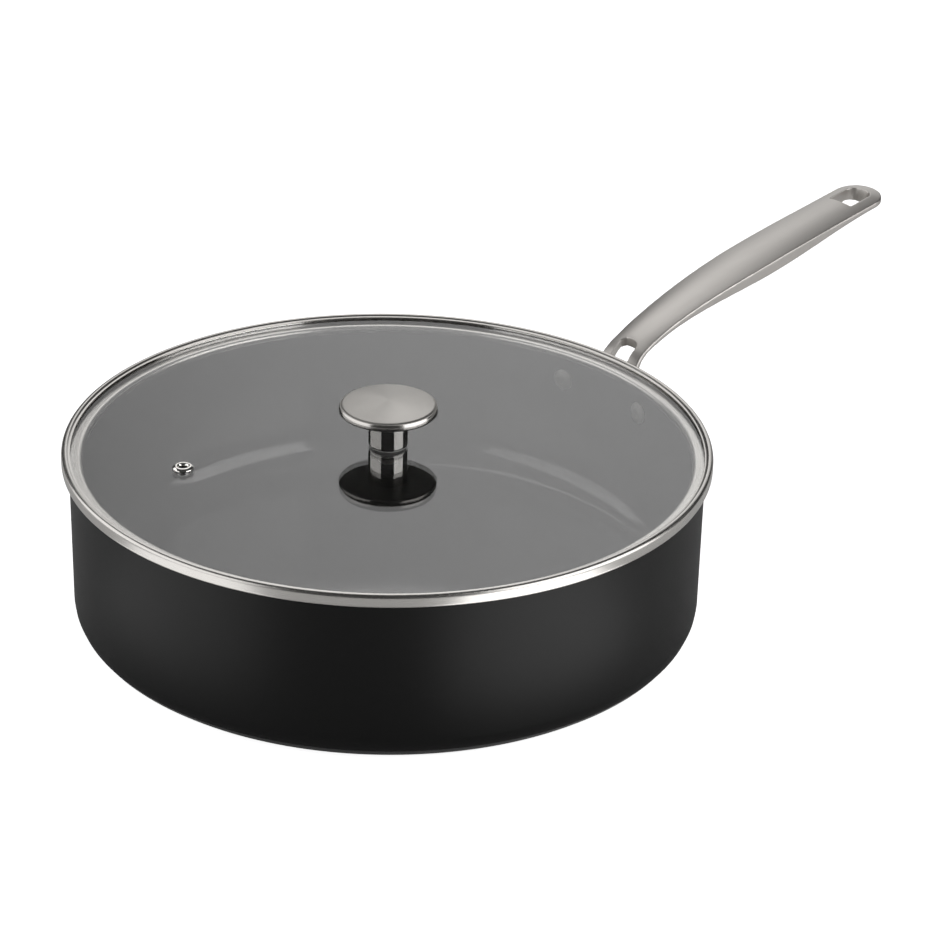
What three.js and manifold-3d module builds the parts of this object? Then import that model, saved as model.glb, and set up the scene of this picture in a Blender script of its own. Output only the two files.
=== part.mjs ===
// Sauté pan with a forked cast handle and a flat glass lid.
// Millimetres, +Z up. The origin is the centre of the underside, and the handle points along +X.
import * as THREE from 'three';
import { mergeVertices } from 'three/addons/utils/BufferGeometryUtils.js';
import Module from 'manifold-3d';

const wasm = await Module();
wasm.setup();

// Clearance between pieces that touch.
const GAP = 0.3;

// Pan body: a straight-sided shell with a thick floor.
const PAN_DIAMETER = 303;
const PAN_HEIGHT = 81.1;
const PAN_TAPER = 0.5; // how much smaller the radius is at the base
const WALL = 3.4;
const FLOOR = 5;
const BASE_CORNER = 12;
const FLOOR_FILLET = 20;
const RIM_ROUND = 1.2;

// Steel plate bonded flush into the underside.
const PLATE_DIAMETER = 232;
const PLATE_THICKNESS = 0.8;

// Riveting flange of the handle, curved to the wall.
const FLANGE_THICKNESS = 4;
const FLANGE_HEIGHT = 24;
const FLANGE_DROP = 3.6; // top of the flange below the rim
const RIVET_SPACING = 54.6;
const RIVET_MARGIN = 9.5; // from a rivet's centre to the end of the flange
const RIVET_DIAMETER = 4;
const RIVET_HEAD = 11; // diameter inside the pan
const RIVET_HEAD_RISE = 1.6;
const RIVET_TAIL = 10; // diameter of the peened end outside
const RIVET_TAIL_RISE = 1.8;
const RIVET_EDGE_SHARE = 0.4; // how much of a rivet's rise is its upright edge
const RIVET_FACET_SHARE = 0.8; // how far out and up the dome's corner lies

// Handle line, seen from the side: the top edge leaves the wall, bends out past the lid and flattens.
const HANDLE_REACH = 198.3; // from the wall to the tip
const HANDLE_RISE = 48.5; // tip above the rim
const NECK_CLEARANCE = 9.5; // from the lid's edge to the bend
const NECK_RISE = 9.1; // bend above the rim
const NECK_ANGLE = 28.7;
const TIP_ANGLE = 7.9;
const FOOT_PULL = 13; // how long the line stays along the wall
const BEND_PULL = 6; // how gently it reaches the bend
const BEND_LEAD = 44; // how long it keeps the bend's angle
const TIP_LEAD = 68; // how long it keeps the tip's angle

// Handle widths, and where they lie along the line from the bend.
const FOOT_MARGIN = 8.3; // from the foot's side to a rivet's tail
const NECK_WIDTH = 22.5;
const NECK_AT = 3;
const GRIP_WIDTH = 28.7;
const GRIP_AT = 97;
const TIP_WIDTH = 27.8;
const TIP_ROUND = 13; // length of the rounded tip

// Handle section: crowned top, upright edges and a rounded belly.
const NECK_EDGE = 2.2;
const GRIP_EDGE = 6.4;
const TIP_EDGE = 2.6;
const CROWN = 2.2;
const CROWN_AT = 10; // where the crown has reached its height, from the bend
const NECK_BELLY = 0.5;
const TIP_BELLY = 3.4;
const EDGE_CHAMFER = 0.9;

// Opening between the arms of the fork, and the hanging hole near the tip.
const SLOT_WIDTH = 11.2;
const SLOT_PAST_BEND = 2.3;
const SLOT_CORNER = 4;
const SLOT_LEDGE = 3; // from the top of the flange down to the bottom of the opening
const HOLE_LENGTH = 18.6; // at its mouth
const HOLE_WIDTH = 14.8;
const HOLE_CORNER = 1.2; // radius at the end towards the pan
const HOLE_ROUND = 5; // radius at the end towards the tip
const HOLE_WALL = 7.2; // from the hole to the tip
const HOLE_LEAN = 16; // degrees that its lower end leans towards the pan

// Lid glass and the band rolled round its edge.
const LID_OVERHANG = 3.5; // past the outside of the pan
const GLASS_THICKNESS = 3.6;
const SHEET = 0.7; // thickness of the band's steel
const BEAD_RISE = 0.9; // crest of the raised edge bead above the lip
const BEAD_FLANK = 0.9; // width of the bead's inner slope
const BEAD_CREST = 0.6; // width of the bead's flat crest
const BEAD_ROUND = 1.5; // radius of the bead's outer shoulder, at the middle of the sheet
const LIP_REACH = 4.2; // from the lid's edge to the inner edge of the lip
const EDGE_ROOM = 1.8; // between the outer face of the band and the glass
const BAND_BEND = 0.8; // radius of the band's other bends
const SKIRT_CLEARANCE = 2.4;
const SKIRT_DROP = 2.6;

// Steam vent: an eyelet flared over a soft washer.
const VENT_RADIUS = 100; // from the centre of the lid
const VENT_ANGLE = 154; // degrees from the handle
const VENT_BORE = 4.2;
const EYELET_WALL = 0.8;
const EYELET_FLANGE = 10;
const EYELET_RISE = 1.6;
const EYELET_RIM = 0.6; // thickness of the flange at its edge
const EYELET_FLARE = 8.4;
const VENT_WASHER = 1;

// Knob: a hollow mushroom head on a turned stem, pulled down by a screw from below.
const KNOB_DIAMETER = 47.2;
const KNOB_RISE = 17.1; // length of the stem below the head
const KNOB_UNDERCUT = 1.1; // radius of the edge below its widest line
const KNOB_SIDE = 3.1; // height of the round side above it
const KNOB_LEAN = 1; // how far the side leans in
const KNOB_CROWN = 1.6;
const KNOB_SHELL = 0.9;
const KNOB_DISH = 0.8; // how much the underside rises towards the stem
const STEM_DIAMETER = 18.9;
const STEM_ROUND = 1.2;
const SPIGOT_DIAMETER = 12;
const SPIGOT_LENGTH = 2.2;
const SEAL_DIAMETER = 17;
const SEAL_THICKNESS = 0.5;
const SCREW_DIAMETER = 5;
const SCREW_ENGAGEMENT = 10; // length of screw inside the stem
const SCREW_TIP_ROOM = 1.5;
const SCREW_HEAD = 9.5;
const SCREW_HEAD_HEIGHT = 2.8;
const DRIVE_WIDTH = 1.2;
const DRIVE_SPAN = 4.8;
const DRIVE_DEPTH = 1.5;
const SLEEVE_WALL = 1.5;
const GROMMET_DIAMETER = 17;
const GROMMET_FLANGE = 1;
const WASHER_DIAMETER = 15;
const WASHER_THICKNESS = 1;
const SPRING_DIAMETER = 8.8;
const SPRING_THICKNESS = 1.2;
const SPRING_SPLIT = 12; // degrees

// Facets.
const RING_SIDES = 64;
const KNOB_SIDES = 36;
const SMALL_SIDES = 20;
const ARC_STEPS = 2; // a round corner has twice as many sides
const FINE_STEPS = 3; // the same for the bead and the knob
const HIDDEN_STEPS = 1; // the same for the hollow in the knob
const FOOT_STEPS = 10;
const GRIP_STEPS = 18;
const GRIP_CROWDING = 1.3; // how much closer the grip's sections lie near the bend
const TIP_STEPS = 8;
const CROWN_STEPS = 6;
const SHARPEST_MITER = 0.5; // cosine of half the sharpest bend in the band's sheet
const WELD_DISTANCE = 1e-4;

// Sizes that follow from those above.
const panRadius = PAN_DIAMETER / 2;
const panInside = panRadius - WALL;
const lidRadius = panRadius + LID_OVERHANG;
const seatZ = PAN_HEIGHT + GAP;
const glassBottom = seatZ + SHEET + GAP;
const glassTop = glassBottom + GLASS_THICKNESS;
const flangeInside = panRadius + GAP;
const flangeOutside = flangeInside + FLANGE_THICKNESS;
const flangeTop = PAN_HEIGHT - FLANGE_DROP;
const rivetZ = flangeTop - FLANGE_HEIGHT / 2;
const rivetAngle = Math.asin(RIVET_SPACING / 2 / panRadius);
const footWidth = RIVET_SPACING - RIVET_TAIL - FOOT_MARGIN * 2;
const screwBore = SCREW_DIAMETER / 2 + GAP;
const sleeveRadius = screwBore + SLEEVE_WALL;
const eyeletRadius = VENT_BORE / 2 + EYELET_WALL;
const facetFlat = Math.cos(Math.PI / RING_SIDES); // a ring's flats lie this share of its radius out

const X = new THREE.Vector3(1, 0, 0);
const Y = new THREE.Vector3(0, 1, 0);
const Z = new THREE.Vector3(0, 0, 1);
const radians = THREE.MathUtils.degToRad;

// One closed surface that faces out, with shared corners and no empty triangles.
function weld(geometry) {
  const bare = geometry.clone();
  bare.deleteAttribute('normal');
  bare.deleteAttribute('uv');
  const merged = mergeVertices(bare, WELD_DISTANCE);
  const corners = merged.getAttribute('position');
  const [a, b, c] = [new THREE.Vector3(), new THREE.Vector3(), new THREE.Vector3()];
  const kept = [];
  let volume = 0;
  for (let i = 0; i < merged.index.count; i += 3) {
    const triangle = [0, 1, 2].map((k) => merged.index.getX(i + k));
    if (new Set(triangle).size < 3) continue;
    [a, b, c].forEach((corner, k) => corner.fromBufferAttribute(corners, triangle[k]));
    volume += a.dot(b.clone().cross(c));
    kept.push(triangle);
  }
  if (volume < 0) kept.forEach((triangle) => triangle.reverse());
  merged.setIndex(kept.flat());
  return merged;
}

function toSolid(geometry) {
  const welded = weld(geometry);
  const vertProperties = new Float32Array(welded.getAttribute('position').array);
  const triVerts = new Uint32Array(welded.index.array);
  return new wasm.Manifold(new wasm.Mesh({ numProp: 3, vertProperties, triVerts }));
}

function fromSolid(solid) {
  const mesh = solid.getMesh();
  const geometry = new THREE.BufferGeometry();
  geometry.setAttribute('position', new THREE.BufferAttribute(new Float32Array(mesh.vertProperties), 3));
  geometry.setIndex(Array.from(mesh.triVerts));
  return geometry;
}

function cut(body, ...tools) {
  return fromSolid(tools.reduce((solid, tool) => solid.subtract(toSolid(tool)), toSolid(body)));
}

// Turn an outline of radius and height about the Z axis.
function revolve(outline, sides) {
  return new THREE.LatheGeometry(outline, sides).rotateX(Math.PI / 2);
}

function pairs(list) {
  return list.map(([radius, height]) => new THREE.Vector2(radius, height));
}

// A ring between two radii and two heights.
function ring(inside, outside, bottom, top, sides) {
  const outline = [[inside, bottom], [outside, bottom], [outside, top], [inside, top], [inside, bottom]];
  return revolve(pairs(outline), sides);
}

function rod(radius, bottom, top, sides) {
  return revolve(pairs([[0, bottom], [radius, bottom], [radius, top], [0, top]]), sides);
}

// A prism of a flat outline, from z = 0 up.
function prism(shape, height, sides = ARC_STEPS * 2) {
  return new THREE.ExtrudeGeometry(shape, { depth: height, bevelEnabled: false, curveSegments: sides });
}

function roundedBar(length, height, corner) {
  const [x, y] = [length / 2, height / 2];
  const shape = new THREE.Shape();
  shape.absarc(x - corner, y - corner, corner, 0, Math.PI / 2);
  shape.absarc(-x + corner, y - corner, corner, Math.PI / 2, Math.PI);
  shape.absarc(-x + corner, -y + corner, corner, Math.PI, Math.PI * 1.5);
  shape.absarc(x - corner, -y + corner, corner, Math.PI * 1.5, Math.PI * 2);
  return shape;
}

// A tongue from x = start to x = end, with its own corner radius at each end.
function tongue(start, end, width, startCorner, endCorner) {
  const side = width / 2;
  const shape = new THREE.Shape();
  shape.absarc(end - endCorner, side - endCorner, endCorner, Math.PI / 2, 0, true);
  shape.absarc(end - endCorner, endCorner - side, endCorner, 0, -Math.PI / 2, true);
  shape.absarc(start + startCorner, startCorner - side, startCorner, -Math.PI / 2, -Math.PI, true);
  shape.absarc(start + startCorner, side - startCorner, startCorner, Math.PI, Math.PI / 2, true);
  return shape;
}

// A strip of sheet bent along a path: the path moved by half the sheet to each side, as one closed outline.
function stripOutline(path, sheet) {
  const points = path.getPoints(FINE_STEPS);
  const offset = (side) => points.map((point, i) => {
    const before = points[Math.max(i - 1, 0)];
    const after = points[Math.min(i + 1, points.length - 1)];
    const into = point.equals(before) ? after.clone().sub(point) : point.clone().sub(before);
    const away = point.equals(after) ? into.clone() : after.clone().sub(point);
    into.normalize();
    away.normalize();
    const along = into.clone().add(away).normalize();
    const normal = new THREE.Vector2(-along.y, along.x);
    const miter = 1 / Math.max(along.dot(into), SHARPEST_MITER);
    return point.clone().addScaledVector(normal, side * miter * sheet / 2);
  });
  const outline = [...offset(1), ...offset(-1).reverse()];
  return [...outline, outline[0]];
}

// A value that eases from one key to the next along the handle.
function eased(keys, at) {
  if (at <= keys[0][0]) return keys[0][1];
  for (let i = 1; i < keys.length; i += 1) {
    const [start, from] = keys[i - 1];
    const [end, to] = keys[i];
    if (at < end) return THREE.MathUtils.lerp(from, to, THREE.MathUtils.smoothstep(at, start, end));
  }
  return keys[keys.length - 1][1];
}

// A skin over rings of equal count, closed by a fan at each end.
function loft(rings) {
  const count = rings[0].length;
  const corners = rings.flat();
  const index = [];
  for (let i = 0; i + 1 < rings.length; i += 1) {
    for (let k = 0; k < count; k += 1) {
      const [a, b] = [i * count + k, i * count + (k + 1) % count];
      index.push(a, b, b + count, a, b + count, a + count);
    }
  }
  [0, rings.length - 1].forEach((i) => {
    const centre = rings[i].reduce((sum, p) => sum.add(p), new THREE.Vector3()).divideScalar(count);
    corners.push(centre);
    for (let k = 0; k < count; k += 1) {
      const fan = [corners.length - 1, i * count + (k + 1) % count, i * count + k];
      index.push(...(i === 0 ? fan : fan.reverse()));
    }
  });
  const geometry = new THREE.BufferGeometry().setFromPoints(corners);
  geometry.setIndex(index);
  return geometry;
}

// Finishes.
const steel = (color, roughness) => new THREE.MeshStandardMaterial({ color, roughness, metalness: 1 });
const soft = (color) => new THREE.MeshStandardMaterial({ color, roughness: 0.6, metalness: 0 });
const anodised = new THREE.MeshStandardMaterial({ color: 0x2b2a29, roughness: 0.55, metalness: 0.3 });
const castSteel = steel(0xc4bfb8, 0.35);
const bandSteel = steel(0xc9c6c0, 0.25);
const polishedSteel = steel(0xd6d3ce, 0.08);
const plainSteel = steel(0xb5b2ad, 0.3);
const clearSilicone = soft(0xd8d8d4);
const greySilicone = soft(0x4a4a4a);
const glass = new THREE.MeshStandardMaterial({
  color: 0x9aa09d, roughness: 0.05, metalness: 0, transparent: true, opacity: 0.35,
});

const saute = new THREE.Group();
const pan = new THREE.Group();
const lid = new THREE.Group();
saute.add(pan, lid);

function add(group, name, geometry, material) {
  const mesh = new THREE.Mesh(weld(geometry), material);
  mesh.name = name;
  group.add(mesh);
  return mesh;
}

// The two rivets' frames: Z runs out along the rivet from the pan's axis.
const rivetFrames = [1, -1].map((side) => {
  const out = new THREE.Vector3(Math.cos(rivetAngle), side * Math.sin(rivetAngle), 0);
  const across = new THREE.Vector3().crossVectors(Z, out);
  return new THREE.Matrix4().makeBasis(across, Z, out).setPosition(0, 0, rivetZ);
});
const rivetHoles = rivetFrames.map((frame) => {
  return rod(RIVET_DIAMETER / 2 + GAP, panInside / 2, panRadius * 2, SMALL_SIDES).applyMatrix4(frame);
});

// Pan body, from the middle of its underside out, up the wall, over the rim and back along the floor.
function panBody() {
  const recessDepth = PLATE_THICKNESS + GAP;
  const recessRadius = PLATE_DIAMETER / 2 + GAP;
  const baseRadius = panRadius - PAN_TAPER;
  const filletRadius = panInside - PAN_TAPER - FLOOR_FILLET;
  const path = new THREE.Path();
  path.moveTo(0, recessDepth);
  path.lineTo(recessRadius, recessDepth);
  path.lineTo(recessRadius, 0);
  path.absarc(baseRadius - BASE_CORNER, BASE_CORNER, BASE_CORNER, -Math.PI / 2, 0);
  path.absarc(panRadius - RIM_ROUND, PAN_HEIGHT - RIM_ROUND, RIM_ROUND, 0, Math.PI / 2);
  path.absarc(panInside + RIM_ROUND, PAN_HEIGHT - RIM_ROUND, RIM_ROUND, Math.PI / 2, Math.PI);
  path.absarc(filletRadius, FLOOR + FLOOR_FILLET, FLOOR_FILLET, 0, -Math.PI / 2, true);
  path.lineTo(0, FLOOR);
  return cut(revolve(path.getPoints(ARC_STEPS), RING_SIDES), ...rivetHoles);
}

// The top edge of the handle, seen from the side: up the wall, then out over the bend to the tip.
function handleLines() {
  const at = (x, z) => new THREE.Vector3(x, 0, z);
  const turned = (angle, length) => at(Math.cos(radians(angle)) * length, Math.sin(radians(angle)) * length);
  const foot = at(flangeInside, rivetZ);
  const bend = at(lidRadius + NECK_CLEARANCE, PAN_HEIGHT + NECK_RISE);
  const tip = at(panRadius + HANDLE_REACH, PAN_HEIGHT + HANDLE_RISE);
  const rise = new THREE.CubicBezierCurve3(
    foot, foot.clone().addScaledVector(Z, FOOT_PULL), bend.clone().sub(turned(NECK_ANGLE, BEND_PULL)), bend);
  const grip = new THREE.CubicBezierCurve3(
    bend, bend.clone().add(turned(NECK_ANGLE, BEND_LEAD)), tip.clone().sub(turned(TIP_ANGLE, TIP_LEAD)), tip);
  return { rise, grip, bend };
}

const handleLine = handleLines();

// One section of the handle at a distance from the bend, with the top edges on the line.
function handleSection(at, point, tangent) {
  const foot = -handleLine.rise.getLength();
  const end = handleLine.grip.getLength();
  const tipStart = end - TIP_ROUND;
  const rounded = at > tipStart ? Math.sqrt(1 - ((at - tipStart) / TIP_ROUND) ** 2) : 1;
  const widths = [[foot, footWidth], [NECK_AT, NECK_WIDTH], [GRIP_AT, GRIP_WIDTH], [tipStart, TIP_WIDTH]];
  const edges = [[foot, FLANGE_THICKNESS], [NECK_AT, NECK_EDGE], [GRIP_AT, GRIP_EDGE], [tipStart, TIP_EDGE]];
  const half = eased(widths, at) / 2 * rounded;
  const edge = eased(edges, at);
  const crown = eased([[foot, 0], [CROWN_AT, CROWN]], at) * rounded ** 2;
  const depth = eased([[foot, 0], [CROWN_AT, NECK_BELLY], [tipStart, TIP_BELLY]], at) * rounded ** 2;
  const chamfer = Math.min(EDGE_CHAMFER, half / 2, edge / 3);
  const up = new THREE.Vector3().crossVectors(tangent, Y);
  const place = (u, v) => point.clone().addScaledVector(Y, u).addScaledVector(up, v);
  const top = [];
  const belly = [];
  for (let k = 0; k <= CROWN_STEPS; k += 1) {
    const u = (half - chamfer) * (2 * k / CROWN_STEPS - 1);
    const bulge = 1 - (u / half) ** 2;
    top.push(place(u, crown * bulge));
    belly.unshift(place(u, -edge - depth * bulge));
  }
  const right = [place(half, -chamfer), place(half, chamfer - edge)];
  const left = [place(-half, chamfer - edge), place(-half, -chamfer)];
  return [...top, ...right, ...belly, ...left];
}

function handleStem() {
  const { rise, grip } = handleLine;
  const length = grip.getLength();
  const straight = 1 - TIP_ROUND / length;
  const stations = [];
  for (let i = 0; i < FOOT_STEPS; i += 1) stations.push([rise, i / FOOT_STEPS, -rise.getLength()]);
  for (let i = 0; i < GRIP_STEPS; i += 1) {
    stations.push([grip, straight * (i / GRIP_STEPS) ** GRIP_CROWDING, 0]);
  }
  // The tip's sections crowd towards the end, and the last one stops half a step short, as a narrow flat.
  for (let i = 0; i < TIP_STEPS; i += 1) {
    const turn = Math.sin(Math.PI / 2 * i / (TIP_STEPS - 1 / 2));
    stations.push([grip, straight + (1 - straight) * turn, 0]);
  }
  return loft(stations.map(([line, share, start]) => {
    return handleSection(start + share * line.getLength(), line.getPointAt(share), line.getTangentAt(share));
  }));
}

// The riveting flange: a rounded bar's outline cut out of a ring that follows the wall.
function handleFlange() {
  const bar = roundedBar(RIVET_SPACING + RIVET_MARGIN * 2, FLANGE_HEIGHT, FLANGE_HEIGHT / 3);
  const block = prism(bar, panRadius * 2).applyMatrix4(new THREE.Matrix4().makeBasis(Y, Z, X));
  block.translate(0, 0, rivetZ);
  const [low, high] = [rivetZ - FLANGE_HEIGHT, rivetZ + FLANGE_HEIGHT];
  return toSolid(ring(flangeInside, flangeOutside, low, high, RING_SIDES)).intersect(toSolid(block));
}

function handleBody() {
  const { bend, grip } = handleLine;
  const slotEnd = bend.x + SLOT_PAST_BEND;
  const slotShape = tongue(panRadius / 2, slotEnd, SLOT_WIDTH, SLOT_CORNER, SLOT_CORNER);
  const slot = prism(slotShape, HANDLE_RISE).translate(0, 0, flangeTop - SLOT_LEDGE);
  const mouth = grip.getPointAt(1 - (HOLE_WALL + HOLE_LENGTH / 2) / grip.getLength());
  const holeReach = HOLE_LENGTH / 2 * Math.cos(radians(HOLE_LEAN));
  const holeShape = tongue(-holeReach, holeReach, HOLE_WIDTH, HOLE_CORNER, HOLE_ROUND);
  const hole = prism(holeShape, HANDLE_RISE).translate(0, 0, -HANDLE_RISE / 2);
  hole.rotateY(radians(HOLE_LEAN - TIP_ANGLE)).translate(mouth.x, 0, mouth.z + CROWN);
  const blank = handleFlange().add(toSolid(handleStem()));
  return [slot, hole, ...rivetHoles].reduce((solid, tool) => solid.subtract(toSolid(tool)), blank);
}

// A rivet, from the head inside the pan to the peened end outside the flange.
function rivet() {
  const headSeat = Math.sqrt(panInside ** 2 - (RIVET_HEAD / 2) ** 2) * facetFlat - PAN_TAPER - GAP;
  const tailSeat = flangeOutside + GAP;
  const dome = (radius, seat, rise) => [
    [radius, seat],
    [radius, seat + rise * RIVET_EDGE_SHARE],
    [radius * RIVET_FACET_SHARE, seat + rise * RIVET_FACET_SHARE],
    [0, seat + rise],
  ];
  const outline = [
    ...dome(RIVET_HEAD / 2, headSeat, -RIVET_HEAD_RISE).reverse(),
    [RIVET_DIAMETER / 2, headSeat],
    [RIVET_DIAMETER / 2, tailSeat],
    ...dome(RIVET_TAIL / 2, tailSeat, RIVET_TAIL_RISE),
  ];
  return revolve(pairs(outline), SMALL_SIDES);
}

add(pan, 'pan_body', panBody(), anodised);
add(pan, 'induction_plate', rod(PLATE_DIAMETER / 2, 0, PLATE_THICKNESS, RING_SIDES), plainSteel);
add(pan, 'handle', fromSolid(handleBody()), castSteel);
['left', 'right'].forEach((side, i) => {
  add(pan, `handle_rivet_${side}`, rivet(), plainSteel).applyMatrix4(rivetFrames[i]);
});

// The lid is built with the top of its glass at z = 0 and stands on the rim.
lid.position.z = glassTop;
const glassRadius = lidRadius - SHEET - EDGE_ROOM;
const ventX = VENT_RADIUS * Math.cos(radians(VENT_ANGLE));
const ventY = VENT_RADIUS * Math.sin(radians(VENT_ANGLE));

function lidGlass() {
  const ventHole = rod(eyeletRadius + GAP, -GLASS_THICKNESS * 2, GLASS_THICKNESS, SMALL_SIDES);
  ventHole.translate(ventX, ventY, 0);
  return cut(ring(sleeveRadius + GAP, glassRadius, -GLASS_THICKNESS, 0, RING_SIDES), ventHole);
}

// The band's section, along the middle of its sheet: lip, bead, outer face, seat under the glass and skirt.
function lidBand() {
  const lipZ = GAP + SHEET / 2;
  const crestZ = lipZ + BEAD_RISE;
  const faceRadius = lidRadius - SHEET / 2;
  const shoulder = faceRadius - BEAD_ROUND;
  const seat = -GLASS_THICKNESS - GAP - SHEET / 2;
  const skirtRadius = panInside - SKIRT_CLEARANCE - SHEET / 2;
  const path = new THREE.Path();
  path.moveTo(lidRadius - LIP_REACH, lipZ);
  path.lineTo(shoulder - BEAD_CREST - BEAD_FLANK, lipZ);
  path.lineTo(shoulder - BEAD_CREST, crestZ);
  path.absarc(shoulder, crestZ - BEAD_ROUND, BEAD_ROUND, Math.PI / 2, 0, true);
  path.lineTo(faceRadius, seat + BAND_BEND);
  path.lineTo(faceRadius - BAND_BEND, seat);
  path.lineTo(skirtRadius + BAND_BEND, seat);
  path.lineTo(skirtRadius, seat - BAND_BEND);
  path.lineTo(skirtRadius, seat - BAND_BEND - SKIRT_DROP);
  return revolve(stripOutline(path, SHEET), RING_SIDES);
}

// The eyelet: a domed flange on the glass with a funnel in it, a tube, and a flare below the washer.
function ventEyelet() {
  const bore = VENT_BORE / 2;
  const flange = EYELET_FLANGE / 2;
  const shoulder = (eyeletRadius + flange) / 2;
  const flareTop = -GLASS_THICKNESS - GAP - VENT_WASHER - GAP;
  const flareBottom = flareTop - EYELET_WALL;
  const flare = EYELET_FLARE / 2;
  return revolve(pairs([
    [bore, flareBottom], [flare, flareBottom], [flare, flareTop], [eyeletRadius, flareTop],
    [eyeletRadius, GAP], [flange, GAP], [flange, GAP + EYELET_RIM], [shoulder, GAP + EYELET_RISE],
    [eyeletRadius, GAP + EYELET_RISE], [bore, GAP + EYELET_RIM], [bore, flareBottom],
  ]), SMALL_SIDES);
}

// The soft ring between the glass and the eyelet's flare.
function ventWasher() {
  const top = -GLASS_THICKNESS - GAP;
  return ring(eyeletRadius + GAP, EYELET_FLANGE / 2, top - VENT_WASHER, top, SMALL_SIDES);
}

const sealTop = GAP + SEAL_THICKNESS;
const stemBottom = sealTop + GAP;
const stemTop = stemBottom + KNOB_RISE;
const headBottom = stemTop + GAP;
const grommetTop = -GLASS_THICKNESS - GAP;
const grommetBottom = grommetTop - GROMMET_FLANGE;
const washerTop = grommetBottom - GAP;
const washerBottom = washerTop - WASHER_THICKNESS;
const springTop = washerBottom - GAP;
const springBottom = springTop - SPRING_THICKNESS;
const screwSeat = springBottom - GAP;

// The head: a hollow shell with a crowned top, a round edge, a dished underside and a hole for the spigot.
function knobHead() {
  const hole = SPIGOT_DIAMETER / 2 + GAP;
  const radius = KNOB_DIAMETER / 2;
  const bottom = headBottom - KNOB_DISH;
  const widest = bottom + KNOB_UNDERCUT;
  const shell = (inset, steps) => {
    const side = radius - inset;
    const top = widest + KNOB_SIDE + KNOB_CROWN - inset;
    const path = new THREE.Path();
    path.moveTo(hole, headBottom + inset);
    path.lineTo(radius - KNOB_UNDERCUT, bottom + inset);
    path.absarc(radius - KNOB_UNDERCUT, widest, KNOB_UNDERCUT - inset, -Math.PI / 2, 0);
    path.quadraticCurveTo(side, widest + KNOB_SIDE / 2, side - KNOB_LEAN, widest + KNOB_SIDE - inset);
    path.quadraticCurveTo(radius / 2, top, 0, top);
    return path.getPoints(steps);
  };
  return revolve([...shell(KNOB_SHELL, HIDDEN_STEPS).reverse(), ...shell(0, FINE_STEPS)], KNOB_SIDES);
}

// The stem: rounded foot, straight side, a spigot up into the head and a blind hole for the screw.
function knobStem() {
  const radius = STEM_DIAMETER / 2;
  const spigot = SPIGOT_DIAMETER / 2;
  const boreEnd = screwSeat + screwLength() + SCREW_TIP_ROOM;
  const path = new THREE.Path();
  path.moveTo(0, boreEnd);
  path.lineTo(screwBore, boreEnd);
  path.lineTo(screwBore, stemBottom);
  path.absarc(radius - STEM_ROUND, stemBottom + STEM_ROUND, STEM_ROUND, -Math.PI / 2, 0);
  path.lineTo(radius, stemTop);
  path.lineTo(spigot, stemTop);
  path.lineTo(spigot, headBottom + SPIGOT_LENGTH);
  path.lineTo(0, headBottom + SPIGOT_LENGTH);
  return revolve(path.getPoints(ARC_STEPS), KNOB_SIDES);
}

function screwLength() {
  return stemBottom - screwSeat + SCREW_ENGAGEMENT;
}

// The screw: a pan head with a cross recess below, and its shank up into the stem.
function knobScrew() {
  const head = SCREW_HEAD / 2;
  const shank = SCREW_DIAMETER / 2;
  const bottom = screwSeat - SCREW_HEAD_HEIGHT;
  const round = SCREW_HEAD_HEIGHT / 2;
  const path = new THREE.Path();
  path.moveTo(0, bottom);
  path.lineTo(head - round, bottom);
  path.absarc(head - round, bottom + round, round, -Math.PI / 2, 0);
  path.lineTo(head, screwSeat);
  path.lineTo(shank, screwSeat);
  path.lineTo(shank, screwSeat + screwLength());
  path.lineTo(0, screwSeat + screwLength());
  const arms = [0, Math.PI / 2].map((turn) => {
    const arm = new THREE.BoxGeometry(DRIVE_SPAN, DRIVE_WIDTH, DRIVE_DEPTH * 2);
    return arm.rotateZ(turn).translate(0, 0, bottom);
  });
  return cut(revolve(path.getPoints(ARC_STEPS), SMALL_SIDES), ...arms);
}

// A flat ring round the screw.
function knobRing(diameter, bottom, top) {
  return ring(screwBore, diameter / 2, bottom, top, SMALL_SIDES);
}

// The grommet: a collar in the glass hole on a flange below the glass.
function knobGrommet() {
  const flange = GROMMET_DIAMETER / 2;
  return revolve(pairs([
    [screwBore, grommetBottom], [flange, grommetBottom], [flange, grommetTop], [sleeveRadius, grommetTop],
    [sleeveRadius, 0], [screwBore, 0], [screwBore, grommetBottom],
  ]), SMALL_SIDES);
}

// The split washer: a ring with a narrow gap in it.
function knobSpringWasher() {
  const [start, end] = [radians(SPRING_SPLIT / 2), Math.PI * 2 - radians(SPRING_SPLIT / 2)];
  const shape = new THREE.Shape();
  shape.absarc(0, 0, SPRING_DIAMETER / 2, start, end);
  shape.absarc(0, 0, screwBore, end, start, true);
  return prism(shape, SPRING_THICKNESS, SMALL_SIDES).translate(0, 0, springBottom);
}

add(lid, 'lid_glass', lidGlass(), glass);
add(lid, 'lid_band', lidBand(), bandSteel);
add(lid, 'vent_eyelet', ventEyelet(), polishedSteel).position.set(ventX, ventY, 0);
add(lid, 'vent_washer', ventWasher(), greySilicone).position.set(ventX, ventY, 0);
add(lid, 'knob_head', knobHead(), castSteel);
add(lid, 'knob_stem', knobStem(), polishedSteel);
add(lid, 'knob_seal', knobRing(SEAL_DIAMETER, GAP, sealTop), clearSilicone);
add(lid, 'knob_grommet', knobGrommet(), greySilicone);
add(lid, 'knob_washer', knobRing(WASHER_DIAMETER, washerBottom, washerTop), plainSteel);
add(lid, 'knob_spring_washer', knobSpringWasher(), plainSteel);
add(lid, 'knob_screw', knobScrew(), plainSteel);

export default saute;
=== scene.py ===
"""Looks of a saute pan with a forked steel handle and a flat glass lid, made round its CAD frame."""

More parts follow.
